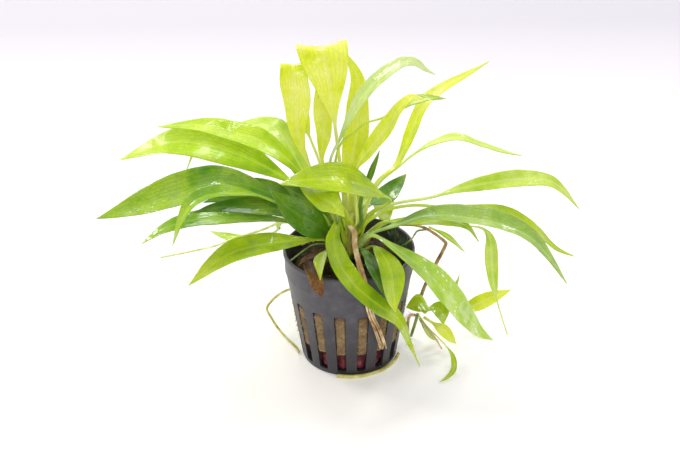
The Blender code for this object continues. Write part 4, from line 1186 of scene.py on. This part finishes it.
LEAF_SKINS["withered"] = leaf_tissue("withered_leaf_tissue", ("#2c1408", "#6a3a1e", "#b4864a"),
                                     "#6b4a26", 0.8, wetness=0.2)
CAD_SLOTS["withered"] = "dead_leaf"
for number, leaf in enumerate(OUTER_LEAVES):
    add_leaf(leaf, len(LEAVES) + number, leaf.name + "_blade", leaf.name)


# Small loose things: a thin green stem and withered scraps on the plug, a dried sheath, a dark root
# at the runner's bend, a young leaf tip and a pinkish stalk by the plantlet, its root hairs, and
# moss inside the pot's right rim. They are too thin to be solids, so they stand for no node.
LOOSE_LEAVES = [
    Leaf("dried_sheath", None, 5, (0, 0, 0),
         [(-5.5, 2, 48.5), (-10, 3.5, 50), (-15, 4, 49.5), (-19, 3, 47.6)], start=0.05, belly=0.4,
         look="sheath", cup=0.3, wave=0.3),
    Leaf("withered_scrap_long", None, 4, (0, 20, 0),
         [(-6, -3, 48), (-11, -7, 48.8), (-16, -9, 48.6), (-20, -13, 47.6)], start=0.05,
         look="withered", cup=0.4, wave=0.5),
    Leaf("withered_scrap_short", None, 3.4, (0, -20, 0),
         [(-8, -6, 47.6), (-10, -11, 48.4), (-13, -16, 48)], start=0.05, look="withered", cup=0.4,
         wave=0.5),
    Leaf("withered_scrap_right", None, 3.2, (0, -20, 0),
         [(9, -4, 47.6), (14, -6, 48.6), (19, -5, 48.2)], start=0.05, look="withered", cup=0.4,
         wave=0.5),
    Leaf("young_leaf_tip", None, 2.4, (0, 0, 0),
         [(38, 8.5, 17), (41, 9, 20), (44.3, 9, 25), (45.4, 9, 30)], start=0.3),
]
LEAF_SKINS["sheath"] = leaf_tissue("dried_sheath_tissue", ("#86664a", "#b4967a", "#dccab2"),
                                   "#c4a888", 0.5, wetness=0.2)
CAD_SLOTS["sheath"] = "dead_leaf"
FIRST_LOOSE_NUMBER = 60      # past the numbers of all other leaves
for number, leaf in enumerate(LOOSE_LEAVES):
    add_leaf(leaf, FIRST_LOOSE_NUMBER + number, leaf.name)

add_stem("thin_green_stem", [([(-23.2, -8.2, 47), (-19, -6, 49.4), (-14, -2.5, 51), (-9, -1.5, 51)],
                              (0.4, 0.35))], olive_skin, "stem_olive")
add_stem("dark_root_at_bend", [([(30.6, 4.6, 53.4), (30, 8, 51.4), (27.6, 7.6, 51.2),
                                 (24.6, 2, 50.4), (21, 1, 47.8)], (0.4, 0.35))],
         olive_skin, "stem_olive")
pink_skin = stem_skin("pinkish_stalk_skin", ("#a8806a", "#cda48e", "#e6cdbc"), 0.5)
add_stem("pinkish_plantlet_stalk", [([(29.6, 2.6, 11.5), (32.6, 0.6, 8.6), (35.6, -1.4, 5),
                                      (38, -3, 1.2)], (0.5, 0.35))], pink_skin, "stem_pale")

HAIR_COUNT = 9
HAIR_START = (27, 5, 12.4)    # under the plantlet's leaves
HAIR_STEP = 0.2
HAIR_REACH = 2.5             # of the shortest, and how much longer the longest is
HAIR_RADII = (0.16, 0.1)
chance = random.Random(11)
x, y, z = HAIR_START
hair_paths = []
for hair in range(HAIR_COUNT):
    reach = HAIR_REACH + HAIR_REACH * chance.random()
    fall = chance.uniform(-2.6, 1.2)
    aside = chance.uniform(-1.6, 1.6)
    hair_paths.append(([(x, y + HAIR_STEP * hair, z),
                        (x - reach / 2, y + aside / 2, z + 0.5 + fall / 3),
                        (x - reach, y + aside, z + fall)], HAIR_RADII))
add_stem("plantlet_root_hairs", hair_paths, pink_skin, "root_yellow", sides=5)

moss_skin = stem_skin("dark_moss_strand", ("#0f140a", "#28321a", "#56683a"), 0.4)
MOSS_STRANDS = 110
MOSS_TURNS = (-16, 40)       # degrees, where it sits inside the rim
MOSS_REACH = (19.5, 23.6)    # from the pot's axis
MOSS_FOOT_HEIGHT = 46.2
moss_paths = []
for strand in range(MOSS_STRANDS):
    turn = math.radians(chance.uniform(*MOSS_TURNS))
    reach = chance.uniform(*MOSS_REACH)
    foot = Vector((reach * math.cos(turn), reach * math.sin(turn), MOSS_FOOT_HEIGHT))
    lean = Vector((chance.uniform(-1.6, 1.2), chance.uniform(-2, 2), chance.uniform(1.0, 3.6)))
    bend = Vector((chance.uniform(-1.2, 1.0), chance.uniform(-1.5, 1.5), 0.4))
    moss_paths.append(([tuple(foot), tuple(foot + lean * 0.5 + bend), tuple(foot + lean)],
                       (0.2, 0.1)))
add_stem("moss_at_the_rim", moss_paths, moss_skin, "stem_olive", sides=5)
